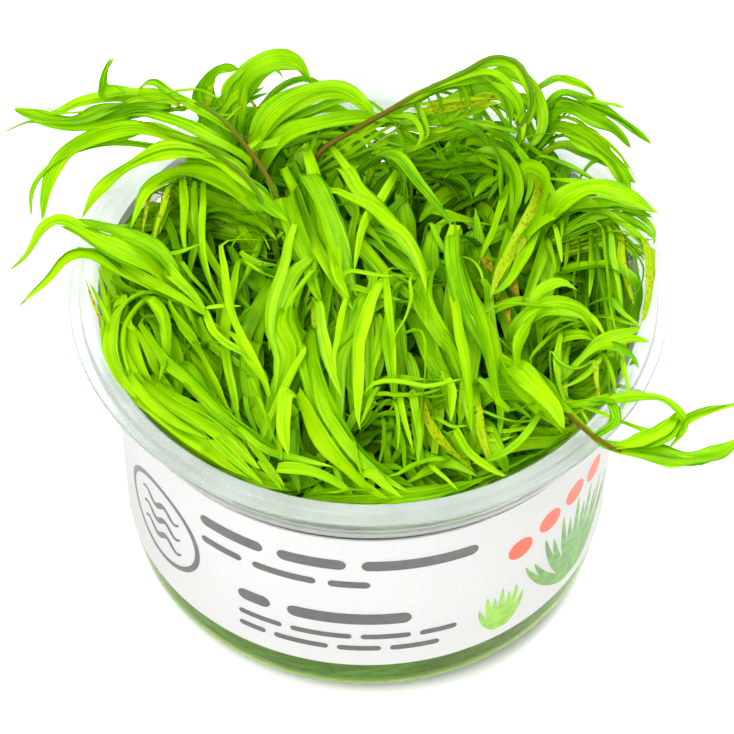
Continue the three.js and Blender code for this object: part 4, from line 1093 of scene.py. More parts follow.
    (2.7, "deep_in_shade", [(19, -32, 57), (23.5, -33.5, 55.5), (27.5, -32, 55.5), (31, -29.5, 55.5)]),
    (1.7, "green", [(18, -21.5, 62.5), (20.5, -24, 61.5), (23, -27, 60.5)]),
    (1.8, "green", [(21.5, -22.5, 61), (24, -25, 60), (27, -27, 59)]),
    (1.5, "green", [(29.5, -23, 60.5), (31, -25, 59.5), (32.5, -27.5, 58.5)]),
    (1.2, "yellow", [(37, -16.5, 61.5), (37.5, -20.5, 61), (38, -23, 60)]),
    (1.2, "green", [(39, -15, 61), (39.5, -19.5, 60), (40, -22.5, 59)]),
    (3.6, "bright", [(26, 6.5, 66), (28.5, 10, 66), (32, 13, 65.5), (37, 15, 65), (42, 15.5, 64.5),
        (48, 14.5, 63.5)]),
    (3.4, "bright", [(29.5, 12.5, 65), (32.5, 17, 65), (36.5, 19.5, 64.5), (40.5, 19.5, 64.5), (44, 18, 63.5),
        (47, 16.5, 63)]),
    (1.7, "deep_in_shade", [(28.5, 25, 66.5), (32.5, 24, 66), (35.5, 22, 66), (38.5, 20, 65.5)]),
    (1.7, "green", [(38.5, 14, 63.5), (39.5, 8.5, 63), (40, 3.5, 62.5), (40, -2.5, 62), (40.5, -7.5, 61.5)]),
    (1.2, "bright", [(30.5, 11, 65), (31.5, 7, 65), (32, 2.5, 64.5)]),
    (2.1, "green", [(34.5, 12.5, 61.5), (35, 7.5, 61.5), (34, 1.5, 61), (34.5, -3, 61)]),
    (1.5, "green", [(33, 13, 62), (33, 7.5, 62), (32.5, 3, 62)]),
    (1.4, "green", [(36.5, 13.5, 62.5), (37, 8, 62.5), (37, 2, 62), (36.5, -3, 62)]),
    (1.4, "green", [(38, 13, 62.5), (38, 7, 62), (38.5, 1, 62), (38.5, -5, 61.5)]),
    (1.2, "green", [(40.5, 13.5, 63.5), (41, 7.5, 63), (41, 1.5, 62.5), (41.5, -3.5, 62)]),
    (1.7, "yellow", [(41.5, 10.5, 63.5), (42, 5, 63), (43, 0, 62.5), (44, -4.5, 62)]),
    (1.4, "yellow", [(47, 8.5, 62.5), (47, 3.5, 62), (46.5, -3, 61.5), (45.5, -7.5, 61)]),
    (0.7, "green", [(41.5, 9, 63.5), (44, 6.5, 63), (45.5, 4.5, 62.5), (45.5, 1.5, 62), (44.5, -1.5, 62),
        (43.5, -3.5, 62)]),
    (1.4, "green", [(38.5, 12.5, 64), (41.5, 10.5, 63.5), (44, 8, 63), (46, 5, 62.5)]),
    (1.3, "green", [(41, 12.5, 64), (43.5, 11, 63.5), (45.5, 9.5, 63), (47.5, 10, 62.5)]),
    (1.5, "green", [(42, 8.5, 63), (44.5, 6.5, 62.5), (46.5, 8, 62)]),
    (1.4, "deep_in_shade", [(40.5, -13, 61.5), (42.5, -13.5, 61), (44, -15, 60.5), (44.5, -16.5, 60)]),
    (1.1, "green", [(39.5, -12.5, 62), (42, -12, 61.5), (44, -11, 61), (46.5, -11, 60.5)]),
    (1.3, "green", [(40, -7.5, 62.5), (42, -8, 62), (45, -8, 61)]),
    (1.1, "green", [(39.5, -12.5, 62), (42, -10.5, 61.5), (44.5, -8.5, 61.5)]),
    (1, "bright", [(41.5, -12.5, 61.5), (42, -17, 60.5), (42, -20.5, 59.5), (42.5, -23, 59),
        (41, -24.5, 58.5), (38.5, -25, 59)]),
    (0.9, "bright", [(35, -26, 60), (36.5, -28, 59), (38.5, -28, 58.5), (40, -25.5, 58.5)]),
    (1.8, "bright", [(32.5, -27.5, 60), (34.5, -25.5, 60), (36.5, -24.5, 60), (38.5, -24, 59.5),
        (40.5, -25, 58.5)]),
    (1.6, "bright", [(32, -25.5, 61.5), (35.5, -24.5, 60.5), (39.5, -23, 60), (44, -21.5, 59), (48, -21, 58),
        (50, -22, 57.5)]),
    (3, "green", [(-20.5, 22, 67), (-23.5, 23.5, 68.5), (-27, 24.5, 70), (-30.5, 26, 71), (-35, 28, 71),
        (-39, 29.5, 70.5), (-43, 29, 70)]),
    (2, "bright", [(-24, 22.5, 67), (-27, 24.5, 68), (-30.5, 25, 69), (-33.5, 26, 69.5), (-37, 27.5, 69.5),
        (-40.5, 28, 69), (-44, 28, 68)]),
    (2.7, "green", [(-23, 19.5, 66), (-25.5, 21.5, 67.5), (-29.5, 22.5, 69), (-34, 22.5, 69.5),
        (-38, 21.5, 68.5), (-42, 20, 66.5), (-44, 18.5, 65)]),
    (1.8, "bright", [(-32.5, 30.5, 72), (-35.5, 31, 73), (-39, 31, 73), (-42, 30.5, 72)]),
    (2.2, "deep_in_shade", [(-34.5, 30.5, 71.5), (-39.5, 30.5, 71.5), (-43, 29.5, 71), (-47, 28, 70.5)]),
    (1.6, "green", [(-31.5, 30, 71), (-35.5, 31, 71), (-40.5, 31, 70.5), (-45, 29.5, 69.5)]),
    (0.7, "green", [(-34.5, 32, 73), (-31.5, 32.5, 73.5), (-29, 33, 73), (-26.5, 32.5, 72),
        (-24.5, 32.5, 70)]),
    (1.1, "green", [(-34.5, 31.5, 72.5), (-30.5, 31, 72), (-28.5, 31, 71)]),
    (0.7, "green", [(-50.5, 30, 70), (-53.5, 30.5, 69.5), (-55.5, 32.5, 69.5)]),
    (0.6, "green", [(-41, 32, 73), (-42.5, 32, 74), (-43.5, 32, 75)]),
    (1.8, "bright", [(-37, 26.5, 69.5), (-40.5, 26.5, 69), (-43.5, 26, 68), (-46, 26.5, 67.5)]),
    (2.1, "bright", [(-21, 20, 67), (-25, 22.5, 68), (-29, 23.5, 69), (-32, 25, 69.5), (-35.5, 26.5, 69.5)]),
    (2.9, "green", [(-18, 17.5, 65), (-22, 19.5, 66), (-26, 20.5, 67), (-29.5, 21.5, 67), (-32.5, 22, 66)]),
    (1.8, "green", [(-25.5, 32.5, 70), (-24.5, 34, 73), (-23, 34.5, 75), (-21, 36, 76)]),
    (1.6, "yellow", [(-28, 31.5, 69), (-27.5, 34, 71.5), (-26.5, 35.5, 73.5)]),
    (1.7, "bright", [(-25.5, 31.5, 69), (-24, 33, 70.5), (-22, 33.5, 72.5), (-20.5, 34.5, 74.5)]),
    (1.5, "green", [(-23.5, 30, 68), (-22.5, 32, 70), (-20.5, 33.5, 71.5), (-18, 34, 73)]),
    (1.9, "bright", [(-23, 31.5, 69), (-20.5, 33.5, 72.5), (-18, 35, 75.5), (-15, 36, 76.5),
        (-12.5, 36, 75.5), (-11, 35.5, 73)]),
    (0.9, "yellow", [(-20.5, 32.5, 71), (-19.5, 31.5, 70), (-19, 30.5, 68)]),
    (2.2, "bright", [(-18.5, 26, 69), (-15.5, 29, 71), (-11.5, 30.5, 73), (-8, 31.5, 74), (-4.5, 32, 73.5),
        (-2, 31, 72), (0, 30.5, 70)]),
    (1.6, "green", [(-10, 25.5, 66), (-9.5, 27.5, 67), (-8.5, 29.5, 68)]),
    (2, "bright", [(-20, 24.5, 67.5), (-16, 25.5, 68.5), (-11.5, 27.5, 69.5), (-7, 29, 70), (-3.5, 30, 70)]),
    (1.8, "bright", [(-3.5, 29.5, 66), (0, 28, 65.5), (3, 27.5, 65), (5, 27, 65), (9.5, 28, 66),
        (14, 29.5, 67)]),
    (1.6, "bright", [(15, 33.5, 76), (18, 33.5, 75.5), (21, 32, 74.5), (22.5, 30.5, 73), (23, 28.5, 71)]),
    (0.9, "yellow", [(4.5, 31.5, 72), (9, 31.5, 72), (14, 32, 72.5), (18.5, 32, 73), (21, 32.5, 72.5)]),
    (1.8, "yellow", [(16.5, 31.5, 70), (19, 32.5, 71), (21.5, 32.5, 71.5)]),
    (1.1, "bright", [(5.5, 31.5, 72), (8, 31, 71.5), (9, 29.5, 70), (9.5, 28, 68), (8.5, 27.5, 67)]),
    (1.6, "green", [(1.5, 29.5, 71), (3.5, 29, 70.5), (5, 27, 68.5), (6, 23.5, 66), (5.5, 19.5, 62)]),
    (1.1, "bright", [(3.5, 29.5, 71), (6.5, 30, 70.5), (8, 28.5, 70), (8.5, 27, 68.5), (7.5, 26, 67)]),
    (1.6, "bright", [(12.5, 29.5, 69), (14.5, 31, 70), (16.5, 32.5, 71)]),
    (2.6, "green", [(14, 28, 68), (17.5, 28.5, 68.5), (20.5, 26.5, 67.5), (22, 23, 66), (22, 20, 63.5),
        (22.5, 17.5, 61)]),
    (2.5, "green", [(16.5, 29.5, 70), (20, 28.5, 69.5), (23.5, 26.5, 68.5), (25.5, 24.5, 67)]),
    (1.7, "green", [(24.5, 25.5, 68), (26.5, 23, 66.5), (27, 19.5, 65), (26, 17, 63)]),
    (2, "green", [(11.5, 25.5, 67), (15.5, 26.5, 67), (18.5, 26, 66), (20.5, 24, 64.5)]),
    (1.7, "green", [(1, 30, 69), (3.5, 31, 70.5), (6.5, 32, 71.5), (10, 32.5, 73)]),
    (1.5, "bright", [(0, 29.5, 68), (3, 30.5, 69.5), (5.5, 31, 70.5)]),
    (2.6, "bright", [(25, 27, 68), (29.5, 28.5, 68.5), (33.5, 28, 68), (37.5, 26.5, 66.5), (40.5, 24.5, 65),
        (42.5, 22.5, 63)]),
    (1.9, "green", [(38, 25, 65.5), (41, 24.5, 64.5), (43, 23.5, 63.5), (45, 23, 62.5)]),
    (0.9, "bright", [(38.5, 33.5, 71), (40.5, 33.5, 70.5), (42.5, 33, 70)]),
    (1.5, "deep_in_shade", [(25, 27.5, 67), (29.5, 25, 66), (33, 23.5, 65.5), (37, 22, 64.5), (38.5, 21, 64)]),
    (1.8, "green", [(38.5, 13, 66), (42, 11, 65.5), (45, 9, 64.5), (47, 7, 63.5)]),
    (2.1, "green", [(40, 12.5, 66), (43.5, 11.5, 65.5), (46.5, 10, 64.5), (48, 9, 63)]),
    (1.4, "green", [(42, 9.5, 65), (45, 7.5, 64.5), (46.5, 5.5, 63.5), (46, 2.5, 62)]),
    (1.5, "bright", [(38, 11.5, 65), (39, 5, 65), (39.5, -1, 64.5), (40, -7.5, 64), (41, -11.5, 62.5)]),
    (1.4, "green", [(39.5, 11.5, 64.5), (40.5, 5, 64), (41.5, -1.5, 63.5), (42, -7, 62.5)]),
    (2.2, "green", [(37.5, -14, 63.5), (41, -12, 63.5), (43.5, -10.5, 62.5), (45, -9, 62)]),
    (2, "bright", [(37.5, -15, 63.5), (40.5, -14, 63.5), (43.5, -12.5, 63), (46.5, -12.5, 62)]),
    (1.8, "deep_in_shade", [(39, -14.5, 63), (41.5, -15, 63), (43.5, -16, 62), (44.5, -18, 61.5)]),
    (1.7, "green", [(40, -5, 64), (42, -7.5, 63.5), (44, -9, 63), (45, -9.5, 62)]),
    (1.4, "bright", [(28.5, 22, 66), (30.5, 18, 65.5), (32, 13.5, 65), (32, 8, 64)]),
    (1.5, "green", [(32, 20, 66), (36, 19.5, 66), (39.5, 18.5, 65.5), (42.5, 16.5, 64.5)]),
    (0.7, "yellow", [(-42.5, -11.5, 60.5), (-44.5, -8, 61.5), (-46, -4.5, 62.5), (-47, -1.5, 63.5)]),
    (1.2, "bright", [(-41.5, -11, 61), (-43, -7, 62), (-44, -3.5, 63), (-45, 1, 64)]),
    (2.5, "bright", [(-40.5, -5, 62), (-43, -8, 61), (-43, -12.5, 60.5), (-42, -17.5, 60), (-39.5, -22, 59.5),
        (-36, -26.5, 59), (-31.5, -30.5, 58.5)]),
    (2.1, "green", [(-38.5, -4.5, 62.5), (-41.5, -7.5, 62), (-42, -12, 61.5), (-40.5, -17.5, 61),
        (-38, -22, 60.5)]),
    (2, "bright", [(-35.5, -23.5, 60.5), (-31.5, -27.5, 60), (-27.5, -31, 59.5), (-23.5, -34.5, 59)]),
    (2.1, "bright", [(-36, -5.5, 63), (-39.5, -10, 62.5), (-40, -15.5, 62), (-39, -21, 61.5)]),
    (1.6, "green", [(-33, -20.5, 62), (-34, -14.5, 62), (-36, -9.5, 62), (-38, -7.5, 62)]),
    (2.2, "green", [(13, 33.5, 76), (16.5, 34.5, 77), (19, 35.5, 78), (21.5, 35.5, 78.5), (24, 35.5, 77.5),
        (26, 33.5, 75.5), (27, 31.5, 73), (26.5, 29.5, 70.5), (24.5, 28.5, 68)]),
    (1.6, "bright", [(19.5, 33, 76), (22.5, 32, 75), (24.5, 30, 73.5), (25.5, 28, 71), (25.5, 26.5, 68.5)]),
    (2.5, "yellow", [(8, 31, 70.5), (13, 32, 71), (18, 32.5, 72), (21.5, 33.5, 72)]),
    (2.2, "green", [(9, 30.5, 68.5), (13, 30.5, 69.5), (16.5, 31, 70.5), (20, 32, 71)]),
    (2, "bright", [(5, 32, 66), (9, 30.5, 66.5), (13, 30, 67.5), (15.5, 31, 68.5)]),
    (1.8, "bright", [(28.5, 35.5, 72.5), (31, 36, 74), (33.5, 34.5, 75), (35.5, 34, 74.5), (37, 34, 73),
        (38, 33, 71.5)]),
    (3, "green", [(31.5, 34, 71.5), (35, 33, 71.5), (38.5, 32, 71), (41.5, 31, 70), (44.5, 29.5, 68.5),
        (47.5, 28, 66.5)]),
    (1.9, "bright", [(31, 32.5, 71), (34.5, 32, 71), (37, 31, 70.5), (40, 30, 69), (43, 28, 66.5)]),
    (1.8, "green", [(37, 33, 72), (39, 32.5, 72), (41.5, 32.5, 71.5), (43, 32, 71)]),
    (0.6, "yellow", [(32, 31, 70), (34.5, 30.5, 70), (36.5, 29, 69.5), (39.5, 27, 68), (43, 24.5, 66),
        (45, 22.5, 63.5)]),
    (3, "green", [(31.5, 29, 67), (35.5, 28.5, 67), (38.5, 26.5, 66), (41, 24, 65), (43, 20, 63.5)]),
    (5, "bright", [(32, 12.5, 66.5), (37, 13.5, 66.5), (41, 14.5, 66), (44.5, 14.5, 65.5), (48.5, 14, 64.5)]),
    (3, "green", [(37, 13, 65.5), (41, 12, 65.5), (44.5, 11, 65), (47, 10, 63.5)]),
    (2, "green", [(44, 13.5, 65), (46, 12.5, 64.5), (47.5, 11, 63.5), (47.5, 8.5, 62.5)]),
    (1.7, "deep_in_shade", [(41.5, 12, 64.5), (44, 10, 64), (45.5, 8.5, 63), (46, 6, 62)]),
    (1.5, "yellow", [(45, 8, 63), (47, 4.5, 62.5), (46.5, -1, 62), (45, -8, 61.5)]),
    (1.4, "bright", [(41, -14.5, 62), (42, -18.5, 61.5), (42.5, -22.5, 61), (41.5, -26, 60.5)]),
    (1.4, "green", [(38, -14.5, 61.5), (40, -19, 61), (40.5, -23.5, 60.5)]),
    (3.1, "bright", [(27.5, -6, 65.5), (30, -4, 66), (32, -3.5, 66), (34.5, -4, 65)]),
    (3.2, "bright", [(39, -36.5, 63.5), (44, -38, 63.5), (49, -38.5, 63), (54, -38, 62), (58.5, -35.5, 61.5),
        (61, -33, 61.5)]),
    (1.9, "bright", [(49.5, -34.5, 64.5), (51.5, -31.5, 64.5), (54, -29.5, 64), (56.5, -28, 63.5),
        (61, -26, 62.5)]),
    (2.9, "green", [(-41, 29.5, 70.5), (-46, 28, 70), (-50, 28, 69.5), (-54.5, 29.5, 68.5), (-58, 32, 67.5),
        (-61, 34, 66.5)]),
    (1.9, "green", [(-45.5, 31.5, 73), (-45.5, 32.5, 75), (-45, 33.5, 77), (-44, 35, 78.5)]),
    (2.9, "bright", [(-34.5, 27, 69.5), (-38, 27, 69.5), (-42.5, 26, 69), (-46, 25.5, 68.5),
        (-49.5, 25, 67.5)]),
    (2.6, "bright", [(-41, -1.5, 65), (-44.5, 1, 65.5), (-47.5, 2.5, 65.5), (-50.5, 1.5, 65),
        (-53, -1.5, 63.5), (-57.5, -5.5, 61.5)]),
    (2.5, "green", [(-42.5, 1, 67), (-46, 3, 68), (-49, 4.5, 68.5), (-51.5, 5.5, 68.5)]),
    (3.6, "bright", [(-13, -27.5, 65.5), (-13.5, -31.5, 65), (-13.5, -34.5, 64), (-12.5, -38.5, 62.5)]),
    (2.6, "bright", [(12.5, -23, 64.5), (13.5, -25.5, 64), (13.5, -28, 63), (13.5, -30.5, 62)]),
    (2.7, "bright", [(-24.5, -34.5, 61.5), (-21.5, -37.5, 61), (-19, -40, 60.5), (-16.5, -42, 59.5)]),
    (2.2, "bright", [(1, -41, 61.5), (3, -42.5, 60.5), (6, -44, 59)]),
    (0.9, "green", [(-11.5, 16.5, 68), (-10, 11.5, 67.5), (-9, 7, 67), (-7, 2, 66.5)]),
    (1.5, "bright", [(-41.5, -4.5, 62.5), (-43.5, -7.5, 61.5), (-43.5, -12, 61), (-43, -16.5, 60.5),
        (-41, -21, 60)]),
    (1.4, "bright", [(4, -27.5, 64), (5, -32, 63), (5, -36.5, 62)]),
    (1.2, "bright", [(-18, -27, 64), (-16, -31.5, 63), (-14.5, -36, 62)]),
    (1.4, "bright", [(-2.5, -35, 62.5), (-1.5, -38.5, 61.5), (0, -42, 60)]),
    (3.1, "green", [(22, -29.5, 64.5), (20, -21, 65.5), (18.5, -13, 66.5), (16, -5, 67), (14.5, 3, 67),
        (14, 9.5, 67.5)]),
    (3.8, "bright", [(-36, -5, 64), (-39.5, -7, 64), (-41.5, -10.5, 63.5), (-42, -15.5, 62.5),
        (-40.5, -20.5, 61.5), (-37.5, -25.5, 61)]),
    (2.6, "bright", [(-36, -6, 64), (-34, -9, 64), (-33, -14, 63.5), (-33, -18.5, 63), (-34, -22.5, 62)]),
    (2.4, "bright", [(-39, -21, 61.5), (-35.5, -26, 61), (-30.5, -30.5, 60.5), (-25.5, -33, 60)]),
    (2.4, "bright", [(-8.5, -8, 66), (-7.5, -15, 65.5), (-6, -22, 65), (-4, -27.5, 64)]),
    (2.1, "bright", [(8.5, -13.5, 65.5), (9.5, -21, 65), (9, -27.5, 64), (8.5, -33, 63)]),
    (1.7, "green", [(31.5, -11, 63), (31, -17, 62.5), (31.5, -22.5, 61.5), (33, -26.5, 61)]),
    (2, "bright", [(14.5, -32, 62), (16.5, -36, 61.5), (20, -39, 61), (23.5, -40.5, 60)]),
    (1.8, "green", [(27.5, -29.5, 62), (25, -33.5, 61.5), (21.5, -36.5, 61), (17, -37.5, 60)]),
    (4.4, "bright", [(22, -14, 59), (24.5, -20.5, 64), (28, -26, 65), (30.5, -29.5, 64.5), (32, -32.5, 63)]),
    (2.6, "green", [(27, -20, 62.5), (29.5, -24, 63.5), (31.5, -27.5, 63.5), (34, -29, 62.5)]),
    (1.8, "brown", [(19, 6, 62), (20, 3, 63), (21.5, 1.5, 62)]),
    (2.4, "brown", [(23, 1.5, 62), (24, -1.5, 63), (25, -3, 61.5)]),
    (1.6, "brown", [(22.5, -3.5, 62), (23, -7, 62.5), (23.5, -9, 61)]),
    (2.6, "yellow", [(45, 9.5, 64), (46.5, 5, 64), (46.5, 0.5, 63), (46, -4.5, 62), (45, -7, 60)]),
    (3, "green", [(43.5, 10, 62), (44.5, 6, 61), (45, 1, 60), (44, -3.5, 58), (43, -7, 56)]),
    (2.6, "bright", [(-44, 3, 61), (-43.5, 6.5, 62), (-42, 10.5, 62), (-40, 13.5, 61)]),
]

# The tone of a companion, as painted shade: one step darker than that of the leaf it lies under
TONE_SHADED_UNDER = {"bright": "green", "green": "green", "deep_in_shade": "deep_in_shade", "yellow": "green", "brown": "deep_in_shade"}

# Hollows of the tangle, each as x, y and radius
HOLLOWS = [(-25, 10, 5), (6, 20, 4), (14, 19, 5), (22, 8, 4.5), (-34, -11, 2.5), (29, 0.5, 4)]

# How brown a stem is, from 0 to 1, at shares of its length from root to tip
GREEN_STEM = ([0, 1], [0.2, 0.35])
BROWNED = {
    "upper_left": ([0, 0.66, 0.72, 0.8, 0.86, 1], [0.3, 0.4, 0.9, 0.8, 0.3, 0.2]),
    "back_runner": ([0, 0.45, 0.68, 0.76], [0.3, 0.9, 0.8, 0]),
    "over_rim": ([0, 0.79, 0.85], [0.2, 0.3, 1]),
}


def bent_routes(start, turn, length, steep):
    """Routes that rise from their starts and bend over. As t goes from 0 to 1, a leaf of length L and
    steepness s goes out by L t (1 - 0.35 s) and up by L (s t - 0.6 t^2)."""
    t = np.linspace(0, 1, LEAF_STATIONS)
    out = length[:, None] * t * (1 - BEND_SHORTENING * steep[:, None])
    up = length[:, None] * (steep[:, None] * t - BEND_DROOP * t * t)
    side = np.stack([np.cos(turn), np.sin(turn)], -1)
    return start[:, None] + np.concatenate([out[..., None] * side[:, None], up[..., None]], -1)


def whorl_routes(stem, low, high, steep, rng):
    """Routes of the leaves that leave a stem in whorls between two heights, each a golden angle on."""
    heights = np.arange(low, high, WHORL_SPACING)
    heights = np.repeat(heights + rng.uniform(*WHORL_UNEVEN, len(heights)), WHORL_LEAVES)
    line = even_route(stem, 2 * STEM_STATIONS)
    order = np.argsort(line[:, 2])
    start = np.stack([np.interp(heights, line[order, 2], line[order, k]) for k in range(3)], -1)
    turn = np.arange(len(heights)) * GOLDEN_ANGLE + rng.uniform(*WHORL_TURN)
    size = rng.uniform(*WHORL_LENGTH, len(heights))
    return bent_routes(start, turn, size, rng.uniform(*steep, len(heights)))


def wall_routes(kind, stem, rng):
    """Routes of the leaves of one kind that leave a stem, reach the wall and lie along it."""
    low, high, count = WALL_PLACES[kind]
    t = np.linspace(0, 1, LEAF_STATIONS)
    line = even_route(stem, 2 * STEM_STATIONS)
    z = rng.uniform(low, high, count)
    start = line[np.abs(line[:, 2][None] - np.clip(z, stem[0][2], None)[:, None]).argmin(1)]
    aside = rng.uniform(-WALL_LEAF_ASIDE, WALL_LEAF_ASIDE, (count, 1))
    turn = np.arctan2(start[:, 1], start[:, 0])[:, None] + aside
    sweep = rng.choice([-1, 1], (count, 1)) * rng.uniform(*WALL_LEAF_SWEEP, (count, 1))
    angle = turn + sweep * t**WALL_SWEEP_POWER
    climb = rng.uniform(-WALL_LEAF_CLIMB, WALL_LEAF_CLIMB, (count, 1))
    below, above = WALL_LEAF_BEYOND
    height = np.clip(z[:, None] + climb * t, low - below, high + above)
    wall = inside_radius(height) - WALL_LEAF_OFF - rng.uniform(0, WALL_LEAF_OFF_MORE, (count, 1))
    near = np.hypot(start[:, 0], start[:, 1])[:, None]
    reach = near + (wall - near) * np.minimum(1, t / WALL_REACHED_AT) ** WALL_REACH_POWER
    return np.stack([reach * np.cos(angle), reach * np.sin(angle), height], -1)


def turned_by_wall(routes):
    """Routes that would pass FILLER_REACH run on along a circle of that radius, softened at the turn."""
    x, y = routes[..., 0], routes[..., 1]
    over = np.maximum(0, np.hypot(x, y) - FILLER_REACH)
    side = np.sign(x[:, :1] * y[:, -1:] - y[:, :1] * x[:, -1:])
    radius = np.hypot(x, y) - over
    angle = np.arctan2(y, x) + side * over / FILLER_REACH
    bent = np.stack([radius * np.cos(angle), radius * np.sin(angle), routes[..., 2]], -1)
    for _ in range(TURN_SOFTENING):
        bent[:, 1:-1] = (bent[:, :-2] + 2 * bent[:, 1:-1] + bent[:, 2:]) / 4
    return np.where(over.any(1)[:, None, None], bent, routes)


def leaf_set(kind, routes, rng, width=None, held=True, bend=0):
    """The leaves of one kind on a shoot: routes, widths, and for each leaf its fold, roll, twist, ripple,
    tint, age, whether the cup holds it in, and the share of its length at which it leaves the tangle."""
    widths, tint_and_shade, age, fold, roll, twist = LEAF_KINDS[kind]
    count = len(routes)
    return (
        routes,
        rng.uniform(*widths, count) if widths else np.asarray(width, float),
        rng.uniform(*fold, count),
        rng.normal(0, roll, count),
        rng.normal(0, twist, count),
        rng.uniform(*FLUTTER, count),
        rng.uniform(*tint_and_shade, count),
        rng.uniform(*age, count),
        np.broadcast_to(held, count),
        np.broadcast_to(bend, count),
    )


def shoot_entry(key, stem, sets, seed):
    """A shoot: the name of its piece, its solid's node, its stem, its leaves, its seed and its browning."""
    return {
        "name": key + "_foliage",
        "node": "shoot_" + key,
        "stem": stem,
        "leaves": sets,
        "seed": seed,
        "browned": BROWNED.get(key, GREEN_STEM),
    }


def named_shoots():
    """The shoots of the table, each with small lower leaves as well."""
    shoots = []
    for order, (key, (stem, leaves)) in enumerate(SHOOTS.items()):
        rng = np.random.default_rng(NAMED_SEED + order)
        stem = smooth_route(stem, STEM_STATIONS)
        lines = [[point_on(stem, at), *points] for at, _, points in leaves]
        routes = np.stack([smooth_route(line, NAMED_LEAF_STATIONS) for line in lines])
        width = [wide for _, wide, _ in leaves]
        held = [max(math.hypot(x, y) for x, y, _ in points) < RIM_RADIUS for _, _, points in leaves]
        top = min(WHORL_HIGHEST, stem[:, 2].max() - WHORL_BELOW_TIP)
        lower = whorl_routes(stem, WHORL_LOWEST, top, WHORL_STEEP, rng)
        sets = [leaf_set("named", routes, rng, width, held), leaf_set("low_on_named", lower, rng)]
        shoots.append(shoot_entry(key, stem, sets, NAMED_SEED + order))
    return shoots


def drawn_numbers(seed, count):
    """The solids' own row of pseudo-random numbers from 0 to 1: state times 48271, modulo 2147483647."""
    state, numbers = seed, []
    for _ in range(count):
        state = state * 48271 % 2147483647
        numbers.append(state / 2147483647)
    return np.array(numbers)


def lowest_ring(node):
    """The middle of a solid's lowest points, in millimetres."""
    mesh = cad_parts[node].data
    corners = np.empty(len(mesh.vertices) * 3, np.float32)
    mesh.vertices.foreach_get("co", corners)
    corners = corners.reshape(-1, 3) / MM
    return corners[corners[:, 2] < corners[:, 2].min() + RING_DEPTH].mean(0)


def filler_stem(root, turn, spread, drawn):
    """A filler's stem, by the rule of its solid: it leans out from its root, and is higher at the back."""
    back = math.sin(turn) * spread / FILLER_SPREAD
    height = FILLER_STEM["low"] + FILLER_STEM["rise"] * drawn[0] + FILLER_STEM["back_rise"] * back
    t = np.array([0, 0.5, 1])
    z = root[2] + (height - root[2]) * t
    leaning = spread * (1 + FILLER_STEM["lean"] * drawn[1] * t)
    reach = np.minimum(leaning, inside_radius(z) - FILLER_STEM["off_wall"])
    return np.stack([reach * math.cos(turn), reach * math.sin(turn), z], -1)


def filler_shoots():
    """The crowded shoots inside the cup, by the rule of their solids, with small lower leaves as well, and
    in the outer ones with leaves along the wall."""
    drawn = drawn_numbers(SOLIDS_SEED, FILLER_COUNT * (2 + 4 * FILLER_TRIES)).reshape(FILLER_COUNT, -1)
    k = np.arange(FILLER_TRIES)
    shoots = []
    for i in range(FILLER_COUNT):
        key = f"filler_{i + 1:02d}"
        root = lowest_ring("shoot_" + key)
        rng = np.random.default_rng(FILLER_SEED + i)
        spread = FILLER_SPREAD * math.sqrt((i + 0.5) / FILLER_COUNT)
        turn = math.atan2(root[1], root[0])
        stem = filler_stem(root, turn, spread, drawn[i])
        width, angle, length, steep = drawn[i, 2:].reshape(FILLER_TRIES, 4).T
        start = np.stack([point_on(stem, FILLER_LEAF_FROM - FILLER_LEAF_SPAN * n / FILLER_TRIES) for n in k])
        size = FILLER_LEAF["shortest"] + (FILLER_LEAF["longest"] - FILLER_LEAF["shortest"]) * length
        rise = FILLER_STEEP[0] + FILLER_STEEP[1] * steep
        upper = turned_by_wall(bent_routes(start, (i + k) * GOLDEN_ANGLE + angle, size, rise))
        wide = FILLER_LEAF["narrowest"] + (FILLER_LEAF["widest"] - FILLER_LEAF["narrowest"]) * width
        top = stem[-1, 2] * FILLER_WHORL_SHARE
        lower = whorl_routes(stem, FILLER_WHORL_LOWEST, top, FILLER_WHORL_STEEP, rng)
        sets = [leaf_set("filler", upper, rng, wide * FILLER_SLIMMING), leaf_set("low_on_filler", lower, rng)]
        if spread > WALL_LEAF_FROM:
            sets.append(leaf_set("foot", wall_routes("foot", stem, rng), rng))
            rim = wall_routes("rim", stem, rng)
            if abs(turn - math.pi / 2) < LABEL_GAP_REACH:
                sets.append(leaf_set("middle", wall_routes("middle", stem, rng), rng))
            sets.append(leaf_set("rim", rim, rng))
            if abs(math.sin(turn)) < SIDE_REACH:
                sets.append(leaf_set("side", wall_routes("side", stem, rng), rng))
        shoots.append(shoot_entry(key, stem, sets, FILLER_SEED + i))
    return shoots


def in_hollow(points):
    """Whether the middle of a leaf lies in one of the tangle's hollows."""
    middle = points[len(points) // 2]
    return any(math.hypot(middle[0] - x, middle[1] - y) < reach for x, y, reach in HOLLOWS)


